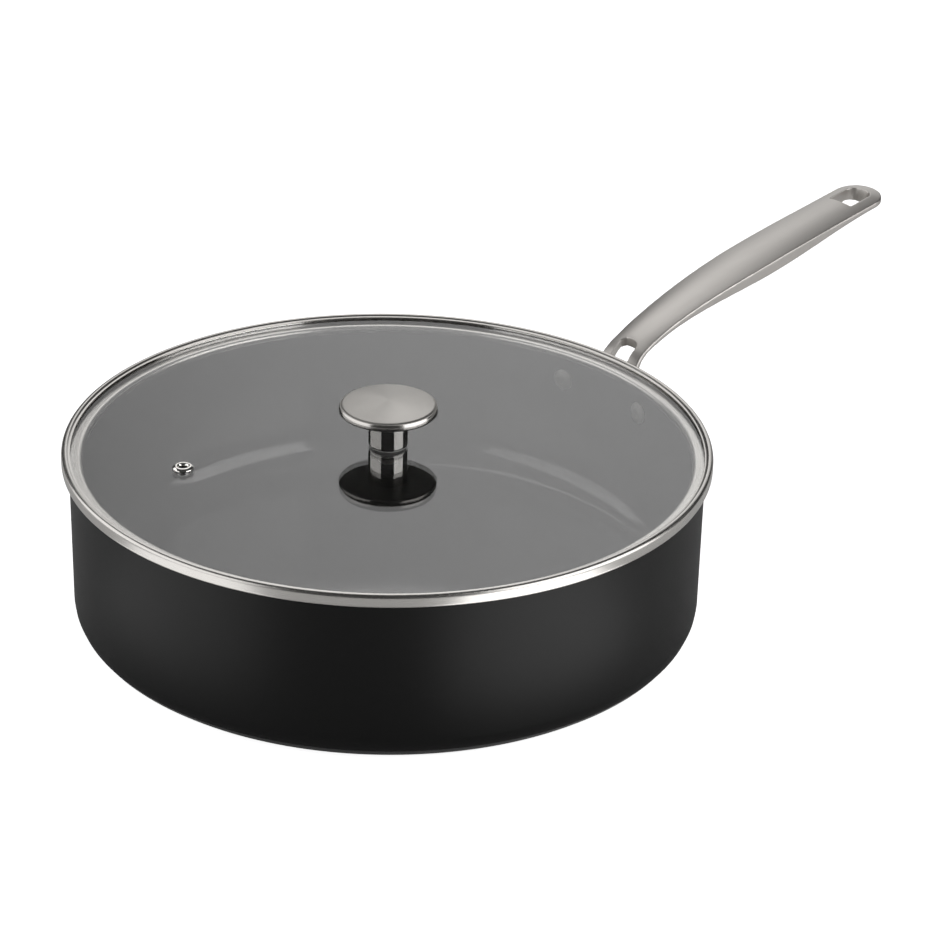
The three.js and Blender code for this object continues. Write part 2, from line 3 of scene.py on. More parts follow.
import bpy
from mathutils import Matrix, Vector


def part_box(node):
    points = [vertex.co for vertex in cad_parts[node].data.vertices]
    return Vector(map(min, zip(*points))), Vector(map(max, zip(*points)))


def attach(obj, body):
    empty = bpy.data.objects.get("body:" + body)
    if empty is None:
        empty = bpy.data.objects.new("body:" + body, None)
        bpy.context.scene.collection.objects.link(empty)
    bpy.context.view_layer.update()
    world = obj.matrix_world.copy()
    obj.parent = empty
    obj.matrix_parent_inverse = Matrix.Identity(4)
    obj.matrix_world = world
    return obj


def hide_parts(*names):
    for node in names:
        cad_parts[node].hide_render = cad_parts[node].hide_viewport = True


bl_info = {
    "name": "Saute Pan with Lid",
    "version": (1, 0, 0),
    "blender": (4, 5, 0),
    "location": "3D View > Sidebar > Saute Pan",
    "description": "Models a saute pan with a forked handle and a glass lid, with its stage",
    "category": "Add Mesh",
}

import math
from bisect import bisect_right

import bmesh
import bpy
from bpy.props import FloatProperty, FloatVectorProperty, PointerProperty
from mathutils import Matrix, Vector
from mathutils.geometry import interpolate_bezier

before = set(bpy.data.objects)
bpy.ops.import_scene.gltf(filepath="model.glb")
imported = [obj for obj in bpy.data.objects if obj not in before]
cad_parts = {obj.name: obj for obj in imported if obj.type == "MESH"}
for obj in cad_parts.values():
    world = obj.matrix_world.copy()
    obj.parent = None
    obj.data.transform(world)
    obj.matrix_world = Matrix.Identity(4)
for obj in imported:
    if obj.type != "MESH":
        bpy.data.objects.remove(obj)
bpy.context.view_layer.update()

MM = 0.001
UP = Vector((0, 0, 1))
ACROSS = Vector((0, 1, 0))

# Heights, and sizes out from the pan's axis, taken from the frame.
_, (_, PAN_RADIUS, PAN_HEIGHT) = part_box("pan_body")
_, (_, PLATE_RADIUS, PLATE_TOP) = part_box("induction_plate")
(_, _, FLANGE_BOTTOM), (_, FLANGE_HALF, _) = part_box("handle")
(_, _, BAND_BOTTOM), (_, LID_RADIUS, BAND_TOP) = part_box("lid_band")
(_, _, GLASS_BOTTOM), (_, GLASS_RADIUS, GLASS_TOP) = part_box("lid_glass")
VENT_CENTRE = sum(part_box("vent_eyelet"), Vector()) / 2

# How finely forms are divided.
RING_STEPS = 192
KNOB_STEPS = 128
SMALL_STEPS = 64
ROUND_STEPS = 6
EDGE_STEPS = 2
CROWN_STEPS = 16
SIDE_STEPS = 3
TIP_STEPS = 24
LINE_STEPS = 400
STATION = 1.5 * MM

# How meshes are finished: sharp edges, doubles, points that hold a flat, and a casting's softness.
SHARP_ANGLE = math.radians(35)
MERGE = 1e-6
HOLD = 0.3 * MM
CAST_SMOOTHING = 0.5
CAST_ROUNDS = 2

# Sockets of a Mix node that mixes colours.
MIX_FIRST, MIX_SECOND, MIX_RESULT = 6, 7, 2


def number(name, description, default, **settings):
    """A value that a user would change."""
    return FloatProperty(name=name, description=description, default=default, **settings)


def numbers(name, description, default, **settings):
    """A few values that a user would change together."""
    return FloatVectorProperty(name=name, description=description, default=default, size=len(default),
                               **settings)


def length(name, description, millimetres):
    return number(name, description, millimetres * MM, unit="LENGTH")


def lengths(name, description, millimetres):
    return numbers(name, description, [each * MM for each in millimetres], unit="LENGTH")


def turn(name, description, degrees):
    return number(name, description, math.radians(degrees), unit="ROTATION")


def share(name, description, default):
    return number(name, description, default, min=0, max=1, subtype="FACTOR")


def colour(name, description, default):
    return numbers(name, description, default, min=0, max=1, subtype="COLOR")


def power(name, description, watts):
    return number(name, description, watts, min=0, unit="POWER")


class PanSizes(bpy.types.PropertyGroup):
    """Sizes of the pan's body, plate and rivets."""

    wall: length("Wall", "Thickness of the pan's wall", 3.4)
    floor: length("Floor", "Thickness of the pan's floor", 5)
    taper: length("Taper", "How much smaller the radius is at the base", 0.5)
    base_corner: length("Base corner", "Radius of the outer corner at the base", 12)
    fillet: length("Fillet", "Radius between the floor and the wall inside", 20)
    rim_round: length("Rim round", "Radius of the rim's edges", 1.2)
    clearance: length("Clearance", "Gap between pieces that are bonded, crimped or clamped", 0.3)
    rivet_spacing: length("Rivet spacing", "Distance between the rivets' centres", 54.6)
    rivet_head: length("Rivet head", "Diameter of a rivet's head inside the pan", 11)
    rivet_face: length("Rivet face", "Diameter of the flat in the middle of a rivet's head", 5)
    rivet_shank: length("Rivet shank", "Diameter of a rivet's shank", 4)
    rivet_tail: length("Rivet tail", "Diameter of a rivet's peened end", 10)
    rivet_rise: length("Rivet rise", "Height of a rivet's head and tail", 1.6)


class HandleSizes(bpy.types.PropertyGroup):
    """Sizes of the cast handle."""

    flange_thickness: length("Flange thickness", "Thickness of the riveting flange", 4)
    flange_height: length("Flange height", "Height of the riveting flange", 24)
    flange_corner: length("Flange corner", "Corner radius of the riveting flange", 8)
    wall_gap: length("Wall gap", "Gap between the pan's wall and the flange", 0.3)
    reach: length("Reach", "From the pan's wall to the handle's tip", 198.3)
    rise: length("Rise", "Height of the tip above the rim", 48.5)
    bend_out: length("Bend out", "Distance from the lid's edge to the bend", 9.5)
    bend_rise: length("Bend rise", "Height of the bend above the rim", 9.1)
    bend_angle: turn("Bend angle", "Slope of the handle at the bend", 28.7)
    tip_angle: turn("Tip angle", "Slope of the handle at its tip", 7.9)
    foot_pull: length("Foot pull", "How long the line stays along the wall", 13)
    bend_pull: length("Bend pull", "How gently the line reaches the bend", 6)
    bend_lead: length("Bend lead", "How long the line keeps the bend's slope", 44)
    tip_lead: length("Tip lead", "How long the line keeps the tip's slope", 68)
    foot_width: length("Foot width", "Width where the arms meet the flange", 28)
    neck_width: length("Neck width", "Width at the neck, the narrowest place", 22.5)
    neck_at: length("Neck place", "Distance of the neck from the bend", 3)
    grip_width: length("Grip width", "Width of the grip, the widest place", 28.7)
    grip_at: length("Grip place", "Distance of the widest place from the bend", 97)
    tip_width: length("Tip width", "Width before the rounded tip", 27.8)
    tip_round: length("Tip round", "Length of the rounded tip", 13)
    neck_edge: length("Neck edge", "Height of the upright edges at the neck", 2.2)
    grip_edge: length("Grip edge", "Height of the upright edges at the grip", 6.4)
    tip_edge: length("Tip edge", "Height of the upright edges at the tip", 2.6)
    crown: length("Crown", "Rise of the top in its middle", 2.2)
    crown_at: length("Crown place", "Where the crown is full, from the bend", 10)
    neck_belly: length("Neck belly", "Fall of the belly in its middle at the neck", 0.5)
    tip_belly: length("Tip belly", "Fall of the belly in its middle at the tip", 3.4)
    slot_width: length("Slot width", "Width between the arms of the fork", 11.2)
    slot_past_bend: length("Slot end", "How far the slot runs past the bend", 2.3)
    slot_corner: length("Slot corner", "Corner radius of the slot", 4)
    slot_ledge: length("Slot ledge", "How far the slot cuts into the flange's top", 3)
    hole_length: length("Hole length", "Length of the hanging hole at its mouth", 18.6)
    hole_width: length("Hole width", "Width of the hanging hole", 14.8)
    hole_corner: length("Hole corner", "Corner radius at the hole's pan side", 1.2)
    hole_round: length("Hole round", "Corner radius at the hole's tip side", 5)
    hole_lean: turn("Hole lean", "How far the hole's lower end leans towards the pan", 16)
    hole_wall: length("Hole wall", "Distance from the hole to the tip", 7.2)
    grain: length("Grain", "Size of the casting's finest surface steps", 0.47)


class LidSizes(bpy.types.PropertyGroup):
    """Sizes of the lid's band, glass and vent."""

    sheet: length("Sheet", "Thickness of the band's steel", 0.7)
    lip_reach: length("Lip reach", "From the lid's edge to the lip's inner edge", 4.2)
    lip_rise: length("Lip rise", "Top of the lip above the glass", 1)
    flank_foot: length("Flank foot", "From the lid's edge to the foot of the bead's flank", 3.35)
    crest_width: length("Crest width", "From the lid's edge to the bead's inner shoulder", 2.45)
    crest_round: length("Crest round", "Radius of the bead's outer shoulder", 1.85)
    flank_round: length("Flank round", "Softness of the flank's foot and shoulder", 0.35)
    seat_round: length("Seat round", "Radius of the band's lower bends", 1.4)
    skirt_clearance: length("Skirt clearance", "From the pan's inside to the skirt", 2.4)
    glass_edge: length("Glass edge", "Radius of the glass's ground edges", 0.5)
    knob_hole: length("Knob hole", "Radius of the hole for the knob's screw", 4.6)
    vent_hole: length("Vent hole", "Radius of the vent's hole in the glass", 3.2)
    vent_bore: length("Vent bore", "Radius of the vent's bore", 2.1)
    vent_tube: length("Vent tube", "Outer radius of the vent's tube", 2.9)
    vent_shoulder: length("Vent shoulder", "Radius of the vent's raised ring", 3.95)
    vent_rim: length("Vent rim", "Thickness of the vent's flange at its edge", 0.6)
    vent_flare: length("Vent flare", "Thickness of the flare below the glass", 0.8)
    vent_inset: length("Vent inset", "How much smaller the flare's radius is than the flange's", 0.8)
    vent_soft: length("Vent soft", "Rounding of the flare and of the bore's mouth", 0.3)
    vent_edge: length("Vent edge", "Rounding of the bore's lower end and of the washer", 0.2)
    vent_rim_edge: lengths("Vent rim edge", "Rounding of the flange's edge, below and above", (0.15, 0.25))
    vent_ring_edge: lengths("Vent ring edge", "Rounding of the raised ring, outside and inside", (0.4, 0.35))


class KnobSizes(bpy.types.PropertyGroup):
    """Sizes of the lid's knob and its fasteners."""

    shell: length("Shell", "Thickness of the head's steel", 0.9)
    undercut: length("Undercut", "Radius of the head's edge below its widest line", 1.1)
    side: length("Side", "Height of the head's round side above its widest line", 3.1)
    lean: length("Lean", "How far the head's side leans in", 1)
    edge: length("Edge", "Rounding between the head's side and its top", 0.9)
    crown: length("Crown", "Rise of the head's top above its side", 1.6)
    satin_from: share("Satin from", "How far up a face must look to get the top's satin finish", 0.55)
    dish: length("Dish", "How much the underside rises towards the stem", 0.8)
    spigot: length("Spigot", "Radius of the stem's spigot", 6)
    spigot_gap: length("Spigot gap", "Gap between the spigot and the head", 0.3)
    seal: length("Seal", "Height of the stem's foot above the glass", 0.5)
    stem_round: length("Stem round", "Radius at the stem's foot", 1.2)
    stem_edge: length("Stem edge", "Rounding of the stem's shoulder and spigot", 0.3)
    bore: length("Bore", "Radius of the holes round the screw", 2.8)
    sleeve: length("Sleeve", "Radius of the grommet's sleeve", 4.3)
    soft_edge: length("Soft edge", "Rounding of the grommet and the spring washer", 0.25)
    shank: length("Shank", "Radius of the screw's shank", 2.5)
    split: turn("Split", "Opening of the spring washer", 12)
    drive_width: length("Drive width", "Width of the screw's cross recess", 1.2)
    drive_span: length("Drive span", "Length of the screw's cross recess", 4.8)
    drive_depth: length("Drive depth", "Depth of the screw's cross recess", 1.5)


class Finishes(bpy.types.PropertyGroup):
    """Colours and roughness of the finishes."""

    anodised: colour("Anodised", "Hard-anodised outside", (0.002, 0.002, 0.002))
    anodised_rough: share("Anodised roughness", "Roughness of the outside", 0.47)
    anodised_shine: share("Anodised shine", "Specular level of the outside", 0.24)
    coating: colour("Coating", "Non-stick coating inside", (0.009, 0.009, 0.009))
    coating_rough: share("Coating roughness", "Roughness of the inside", 0.1)
    coating_shine: share("Coating shine", "Specular level of the inside", 0.7)
    cast_steel: colour("Cast steel", "Satin steel of the handle", (0.6, 0.575, 0.548))
    cast_rough: share("Cast roughness", "Roughness of the handle", 0.42)
    band_steel: colour("Band steel", "Steel of the lid's band", (0.62, 0.6, 0.575))
    band_rough: share("Band roughness", "Roughness of the band", 0.26)
    knob_steel: colour("Knob steel", "Turned steel of the knob's top", (0.47, 0.453, 0.43))
    knob_rough: share("Knob roughness", "Roughness of the knob's top", 0.42)
    rim_steel: colour("Rim steel", "Polished steel of the knob's edge", (0.6, 0.58, 0.555))
    rim_rough: share("Rim roughness", "Roughness of the knob's edge", 0.2)
    # Dark steel is darkened well below bare steel: painted shade under the knob's head. On the rivets' heads it
    # stands for their dark coating.
    dark_steel: colour("Dark steel", "Unpolished steel of the knob's underside", (0.26, 0.25, 0.24))
    dark_rough: share("Dark roughness", "Roughness of unpolished steel", 0.5)
    mirror_steel: colour("Mirror steel", "Polished steel", (0.84, 0.82, 0.79))
    mirror_rough: share("Mirror roughness", "Roughness of polished steel", 0.04)
    plate_steel: colour("Plate steel", "Turned steel of the plate and washers", (0.5, 0.49, 0.47))
    plate_rough: share("Plate roughness", "Roughness of the plate", 0.32)
    clear_rubber: colour("Clear rubber", "Clear silicone", (0.75, 0.75, 0.73))
    clear_rough: share("Clear roughness", "Roughness of clear silicone", 0.25)
    clear_share: share("Clear share", "How much light goes through clear silicone", 0.6)
    clear_ior: number("Clear bending", "Index of refraction of silicone", 1.41)
    grey_rubber: colour("Grey rubber", "Grey silicone", (0.07, 0.07, 0.07))
    grey_rough: share("Grey roughness", "Roughness of grey silicone", 0.55)
    glass: colour("Glass", "Tint of the lid's glass", (0.95, 0.95, 0.945))
    glass_ior: number("Glass bending", "Index of refraction of glass", 1.5)


class StageSettings(bpy.types.PropertyGroup):
    """Camera, lights and floor."""

    azimuth: turn("Azimuth", "Where the camera stands round the pan", -44)
    elevation: turn("Elevation", "How far above the horizon the camera stands", 26.113)
    roll: turn("Roll", "How far the camera leans to its side", 1.35)
    distance: length("Distance", "From the camera to the middle of the glass", 1560)
    lens: number("Lens", "Focal length", 125.27, unit="CAMERA")
    lid_centre: numbers("Lid centre", "Pixel where the middle of the glass shows", (388.17, 445.15))
    picture: number("Picture", "Width and height of the picture", 940, subtype="PIXEL")
    floor: colour("Floor", "Colour of the floor", (0.9, 0.9, 0.9))
    floor_rough: share("Floor roughness", "Roughness of the floor", 0.9)
    floor_shine: share("Floor shine", "Specular level of the floor", 0.1)
    floor_glow: share("Floor glow", "White that the floor shows besides the light on it", 0.9)
    floor_half: length("Floor half", "Half the floor's width", 6000)
    floor_gap: length("Floor gap", "Gap between the pan and the floor", 0.3)
    room: colour("Room", "Dark room above and behind the camera", (0.05, 0.05, 0.05))
    backdrop: colour("Backdrop", "White behind the pan", (1, 1, 1))
    backdrop_turn: turn("Backdrop turn", "How far the backdrop lies to the camera's right", 7)
    backdrop_sides: numbers("Backdrop sides", "Cosines off its middle where it ends and is full",
                            (0.92, 0.9976))
    backdrop_top: numbers("Backdrop top", "Sines of the heights where it ends and is full", (0.7, 0.47))
    backdrop_rise: numbers("Backdrop rise", "Sines of the heights between which it brightens", (0.3, 0.48))
    backdrop_level: numbers("Backdrop level", "Brightness below and above that rise", (0.85, 1.12))
    left_bearing: turn("Left bearing", "Where the left softbox stands, from the camera's side", -82)
    left_place: lengths("Left place", "Distance and height of the left softbox", (1100, 540))
    left_size: lengths("Left size", "Width and height of the left softbox", (2000, 1060))
    left_power: power("Left power", "Light of the left softbox", 8.6)
    right_bearing: turn("Right bearing", "Where the right softbox stands, from the camera's side", 67)
    right_place: lengths("Right place", "Distance and height of the right softbox", (1100, 600))
    right_size: lengths("Right size", "Width and height of the right softbox", (1300, 1180))
    right_power: power("Right power", "Light of the right softbox", 10)
    back_bearing: turn("Back bearing", "Where the back softbox hangs, from the camera's side", -167)
    back_place: lengths("Back place", "Distance and height of the back softbox", (720, 1170))
    back_size: lengths("Back size", "Width and height of the back softbox", (1000, 1100))
    back_power: power("Back power", "Light of the back softbox", 3.8)
    left_card_bearing: turn("Left card bearing", "Where the left card lies, from the camera's side", -52)
    left_card_power: power("Left card power", "Light from the left card", 0.18)
    right_card_bearing: turn("Right card bearing", "Where the right card lies, from the camera's side", 40)
    right_card_power: power("Right card power", "Light from the right card", 0.38)
    card_place: lengths("Card place", "Distance and height of the cards on the floor", (360, 2))
    card_size: lengths("Card size", "Length and width of the cards", (340, 200))


# The scene's own sizes and settings.


def pan_sizes():
    return bpy.context.scene.saute_pan


def handle_sizes():
    return bpy.context.scene.saute_handle


def lid_sizes():
    return bpy.context.scene.saute_lid


def knob_sizes():
    return bpy.context.scene.saute_knob


def finishes():
    return bpy.context.scene.saute_finishes


def stage_settings():
    return bpy.context.scene.saute_stage


# Mesh helpers.


def outline(bm, corners, closed=False):
    """Lay a wire through corners of radius, height and rounding, in the XZ plane, and round its corners."""
    verts = [bm.verts.new((radius, 0, height)) for radius, height, _ in corners]
    ends = verts + verts[:1] if closed else verts
    for ends_of_edge in zip(ends, ends[1:]):
        bm.edges.new(ends_of_edge)
    for vert, (_, _, rounding) in zip(verts, corners):
        if rounding:
            bmesh.ops.bevel(bm, geom=[vert], offset=rounding, offset_type="OFFSET", affect="VERTICES",
                            segments=ROUND_STEPS, profile=0.5, material=-1)


def held(corners, closed):
    """Corners with a plain point just past each rounding, so that smooth shading leaves the flats flat."""
    ends = corners + corners[:1] if closed else corners
    made = []
    for first, second in zip(ends, ends[1:]):
        start, end = Vector(first[:2]), Vector(second[:2])
        along = end - start
        made.append(first)
        if along.length < first[2] + second[2] + 4 * HOLD:
            continue
        along.normalize()
        if first[2]:
            made.append((*(start + along * (first[2] + HOLD)), 0))
        if second[2]:
            made.append((*(end - along * (second[2] + HOLD)), 0))
    return made if closed else made + [corners[-1]]


def spin_round(bm, steps, angle=math.tau):
    """Turn everything in the mesh about the Z axis and close the seams and poles."""
    bmesh.ops.spin(bm, geom=bm.verts[:] + bm.edges[:] + bm.faces[:], axis=UP, angle=angle, steps=steps,
                   use_merge=angle == math.tau)
    bmesh.ops.remove_doubles(bm, verts=bm.verts[:], dist=MERGE)
    bmesh.ops.recalc_face_normals(bm, faces=bm.faces[:])


def turned(corners, steps, closed=False):
    """A mesh turned from an outline of radius, height and rounding."""
    bm = bmesh.new()
    outline(bm, held(corners, closed), closed)
    spin_round(bm, steps)
    return bm


def ring(inner, outer, low, high, edge):
    """The outline of a flat ring with rounded edges."""
    return [(inner, low, edge), (outer, low, edge), (outer, high, edge), (inner, high, edge)]


def rolled(corners, sheet, steps):
    """A mesh of sheet metal turned from the line of its outer side."""
    bm = turned(corners, steps)
    outermost = max(bm.faces, key=lambda face: face.calc_center_median().xy.length)
    if outermost.normal.dot(outermost.calc_center_median()) < 0:
        bmesh.ops.reverse_faces(bm, faces=bm.faces[:])
    bmesh.ops.solidify(bm, geom=bm.faces[:], thickness=sheet)
    return bm


def tongue(start, end, width, start_round, end_round):
    """The outline of a tongue along X, with its own rounding at each end."""
    side = width / 2
    return [(start, -side, start_round), (end, -side, end_round), (end, side, end_round),
            (start, side, start_round)]


def prism(points, low, high, place=Matrix()):
    """A prism of an outline of along, across and rounding, from low to high, then put in its place."""
    bm = bmesh.new()
    outline(bm, points, closed=True)
    lay_flat = Matrix.Rotation(-math.pi / 2, 4, "X")
    bmesh.ops.transform(bm, matrix=Matrix.Translation(UP * low) @ lay_flat, verts=bm.verts[:])
    face = bmesh.ops.contextual_create(bm, geom=bm.edges[:])["faces"]
    raised = bmesh.ops.extrude_face_region(bm, geom=face)["geom"]
    raised = [item for item in raised if isinstance(item, bmesh.types.BMVert)]
    bmesh.ops.translate(bm, vec=UP * (high - low), verts=raised)
    bmesh.ops.transform(bm, matrix=place, verts=bm.verts[:])
    bmesh.ops.recalc_face_normals(bm, faces=bm.faces[:])
    return bm


def to_object(name, bm, *materials):
    """A new object of a bmesh, smooth but for its sharp edges."""
    mesh = bpy.data.meshes.new(name)
    bm.to_mesh(mesh)
    bm.free()
    mesh.shade_smooth()
    mesh.set_sharp_from_angle(angle=SHARP_ANGLE)
    for material in materials:
        mesh.materials.append(material)
    made = bpy.data.objects.new(name, mesh)
    bpy.context.scene.collection.objects.link(made)
    return made


def apply_modifiers(piece):
    """Put what the modifiers make into the object's own mesh."""
    graph = bpy.context.evaluated_depsgraph_get()
    made = bpy.data.meshes.new_from_object(piece.evaluated_get(graph))
    old = piece.data
    piece.modifiers.clear()
    piece.data = made
    made.name = piece.name
    bpy.data.meshes.remove(old)


def cut(piece, *tools):
    """Cut bmesh tools out of a piece."""
    cutters = [to_object(f"{piece.name}_cutter", tool) for tool in tools]
    for cutter in cutters:
        cutting = piece.modifiers.new("cut", "BOOLEAN")
        cutting.operation = "DIFFERENCE"
        cutting.solver = "EXACT"
        cutting.use_self = True
        cutting.object = cutter
    apply_modifiers(piece)
    piece.data.set_sharp_from_angle(angle=SHARP_ANGLE)
    for cutter in cutters:
        bpy.data.meshes.remove(cutter.data)


def soften(piece, width):
    """Round a piece's sharp edges."""
    bevel = piece.modifiers.new("soft edges", "BEVEL")
    bevel.width = width
    bevel.segments = EDGE_STEPS
    bevel.limit_method = "ANGLE"
    bevel.angle_limit = SHARP_ANGLE
    apply_modifiers(piece)
    piece.data.set_sharp_from_angle(angle=SHARP_ANGLE)


def dress(piece, body, node):
    """Ride on a body and hide the CAD node that the piece stands for."""
    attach(piece, body)
    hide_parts(node)


# Material helpers.


def put(tree, kind, inputs=None, **settings):
    """Add a node, with its settings and its inputs, which are values or sockets."""
    made = tree.nodes.new(kind)
    for name, value in settings.items():
        setattr(made, name, value)
    for name, value in (inputs or {}).items():
        if isinstance(value, bpy.types.NodeSocket):
            tree.links.new(value, made.inputs[name])
        else:
            made.inputs[name].default_value = value
    return made


def maths(tree, operation, first, second=0.0):
    """A Math node's result."""
    return put(tree, "ShaderNodeMath", {0: first, 1: second}, operation=operation).outputs[0]


def vectors(tree, operation, result, first, second=(0, 0, 0)):
    """A Vector Math node's result, a Vector or a Value."""
    return put(tree, "ShaderNodeVectorMath", {0: first, 1: second}, operation=operation).outputs[result]


def ramp(tree, value, start, end, low=0.0, high=1.0, shape="LINEAR"):
    """A value that goes from low to high while another goes from start to end."""
    limits = {"Value": value, "From Min": start, "From Max": end, "To Min": low, "To Max": high}
    return put(tree, "ShaderNodeMapRange", limits, interpolation_type=shape).outputs["Result"]


def mix(tree, factor, first, second, **settings):
    """A colour between two others."""
    inputs = {0: factor, MIX_FIRST: first, MIX_SECOND: second}
    return put(tree, "ShaderNodeMix", inputs, data_type="RGBA", **settings).outputs[MIX_RESULT]


def object_place(tree):
    """The Object coordinates."""
    return put(tree, "ShaderNodeTexCoord").outputs["Object"]


def ring_place(tree, *scale):
    """Coordinates that follow rings about the Z axis, with scales for radius, angle and height."""
    place = object_place(tree)
    apart = put(tree, "ShaderNodeSeparateXYZ", {0: place}).outputs
    radius = vectors(tree, "LENGTH", "Value", vectors(tree, "MULTIPLY", "Vector", place, (1, 1, 0)))
    angle = maths(tree, "ARCTAN2", apart["Y"], apart["X"])
    around = put(tree, "ShaderNodeCombineXYZ", {"X": radius, "Y": angle, "Z": apart["Z"]}).outputs[0]
    return vectors(tree, "MULTIPLY", "Vector", around, scale)


def axis_place(tree, *scale):
    """Object coordinates with a scale for each axis."""
    return vectors(tree, "MULTIPLY", "Vector", object_place(tree), scale)


def noise(tree, place, cells, detail=2.0):
    """A noise value from 0 to 1, with its number of cells to a unit of the place."""
    return put(tree, "ShaderNodeTexNoise", {"Vector": place, "Scale": cells, "Detail": detail}).outputs["Fac"]


def tones(tree, value, base, spread):
    """A colour that varies by a share about its base."""
    dark = [channel * (1 - spread) for channel in base]
    light = [min(channel * (1 + spread), 1) for channel in base]
    return mix(tree, value, (*dark, 1), (*light, 1))


def vary(tree, shader, base, rough, mottle, grain, spread=0.12, rough_spread=0.15):
    """Vary a surface's colour by mottle and its roughness by grain."""
    tree.links.new(tones(tree, mottle, base, spread), shader.inputs["Base Color"])
    rougher = ramp(tree, grain, 0, 1, rough * (1 - rough_spread), rough * (1 + rough_spread))
    tree.links.new(rougher, shader.inputs["Roughness"])


def bumps(tree, shader, height, depth, strength):
    """Raise the surface by a height value, to a depth and with a strength."""
    made = put(tree, "ShaderNodeBump", {"Height": height, "Distance": depth, "Strength": strength})
    tree.links.new(made.outputs["Normal"], shader.inputs["Normal"])


def shared_finish(paint):
    """Make a function that paints a node tree into one that gives a material, made once for all pieces."""
    def finish():
        name = f"{paint.__name__}_finish"
        material = bpy.data.materials.get(name)
        if material is None:
            material = bpy.data.materials.new(name)
            material.use_nodes = True
            tree = material.node_tree
            tree.nodes.clear()
            shader = put(tree, "ShaderNodeBsdfPrincipled")
            surface = paint(tree, shader) or shader.outputs["BSDF"]
            put(tree, "ShaderNodeOutputMaterial", {"Surface": surface})
        return material
    return finish


# Finishes.


@shared_finish
def anodised_aluminium(tree, shader):
    """Matte dark hard-anodised metal with a fine blasted grain."""
    place = object_place(tree)
    grain = noise(tree, place, cells=2600, detail=3)
    mottle = noise(tree, place, cells=60, detail=4)
    vary(tree, shader, finishes().anodised, finishes().anodised_rough, mottle, grain)
    bumps(tree, shader, grain, depth=0.02 * MM, strength=0.5)
    shader.inputs["Specular IOR Level"].default_value = finishes().anodised_shine


@shared_finish
def nonstick_coating(tree, shader):
    """Dark sprayed coating with a soft orange-peel."""
    place = object_place(tree)
    peel = noise(tree, place, cells=900)
    speckle = noise(tree, place, cells=3000)
    vary(tree, shader, finishes().coating, finishes().coating_rough, speckle, peel, spread=0.3)
    bumps(tree, shader, peel, depth=0.01 * MM, strength=0.4)
    shader.inputs["Specular IOR Level"].default_value = finishes().coating_shine


def paint_steel(tree, shader, kind, place, groove=0.0, anisotropic=0.0):
    """Steel with a faint mottle, and with fine lines whose run and spacing come from the place's scales."""
    shader.inputs["Metallic"].default_value = 1
    lines = noise(tree, place, cells=1, detail=3)
    mottle = noise(tree, object_place(tree), cells=45, detail=3)
    base, rough = (getattr(finishes(), f"{kind}_{part}") for part in ("steel", "rough"))
    vary(tree, shader, base, rough, mottle, lines, spread=0.04, rough_spread=0.22)
    if anisotropic:
        shader.inputs["Anisotropic"].default_value = anisotropic
        around = put(tree, "ShaderNodeTangent", direction_type="RADIAL", axis="Z")
        tree.links.new(around.outputs["Tangent"], shader.inputs["Tangent"])
    if groove:
        bumps(tree, shader, lines, depth=groove, strength=0.5)


@shared_finish
def cast_steel(tree, shader):
    """Satin steel, brushed along the handle."""
    paint_steel(tree, shader, "cast", axis_place(tree, 60, 2600, 90), groove=0.008 * MM)


@shared_finish
def band_steel(tree, shader):
    """Steel brushed round the lid."""
    paint_steel(tree, shader, "band", ring_place(tree, 3000, 6, 3000), groove=0.002 * MM)


@shared_finish
def knob_steel(tree, shader):
    """Steel with the fine rings that a lathe leaves."""
    paint_steel(tree, shader, "knob", ring_place(tree, 3500, 3, 0), groove=0.006 * MM, anisotropic=0.7)


@shared_finish
def rim_steel(tree, shader):
    """Steel polished round the knob's edge."""
    paint_steel(tree, shader, "rim", ring_place(tree, 2500, 3, 2500), groove=0.002 * MM)


@shared_finish
def dark_steel(tree, shader):
    """Rough steel, darkened as painted shade under the knob's head; on the rivets' heads it is their dark
    coating.
    """
    paint_steel(tree, shader, "dark", ring_place(tree, 1800, 3, 0), groove=0.004 * MM)


@shared_finish
def mirror_steel(tree, shader):
    """Steel polished bright, without lines."""
    paint_steel(tree, shader, "mirror", axis_place(tree, 120, 120, 120))


@shared_finish
def plate_steel(tree, shader):
    """Turned steel with rings that show."""
    paint_steel(tree, shader, "plate", ring_place(tree, 1600, 2, 0), groove=0.02 * MM, anisotropic=0.5)


def paint_rubber(tree, shader, kind):
    """Soft silicone with a faint moulded texture."""
    place = object_place(tree)
    grain = noise(tree, place, cells=1200)
    mottle = noise(tree, place, cells=300)
    base, rough = (getattr(finishes(), f"{kind}_{part}") for part in ("rubber", "rough"))
    vary(tree, shader, base, rough, mottle, grain)
    bumps(tree, shader, grain, depth=0.01 * MM, strength=0.4)


@shared_finish
def clear_rubber(tree, shader):
    """Silicone that lets light through."""
    paint_rubber(tree, shader, "clear")
    shader.inputs["Transmission Weight"].default_value = finishes().clear_share
    shader.inputs["IOR"].default_value = finishes().clear_ior


@shared_finish
def grey_rubber(tree, shader):
    """Dark silicone."""
    paint_rubber(tree, shader, "grey")


@shared_finish
def tempered_glass(tree, shader):
    """Clear glass that lets lamps through to what lies below it."""
    haze = tones(tree, noise(tree, object_place(tree), cells=25, detail=3), finishes().glass, spread=0.01)
    tree.links.new(haze, shader.inputs["Base Color"])
    shader.inputs["Roughness"].default_value = 0
    shader.inputs["IOR"].default_value = finishes().glass_ior
    shader.inputs["Transmission Weight"].default_value = 1
    shadow = put(tree, "ShaderNodeLightPath").outputs["Is Shadow Ray"]
    clear = put(tree, "ShaderNodeBsdfTransparent", {"Color": haze}).outputs["BSDF"]
    return put(tree, "ShaderNodeMixShader", {0: shadow, 1: shader.outputs["BSDF"], 2: clear}).outputs[0]


# Pan.


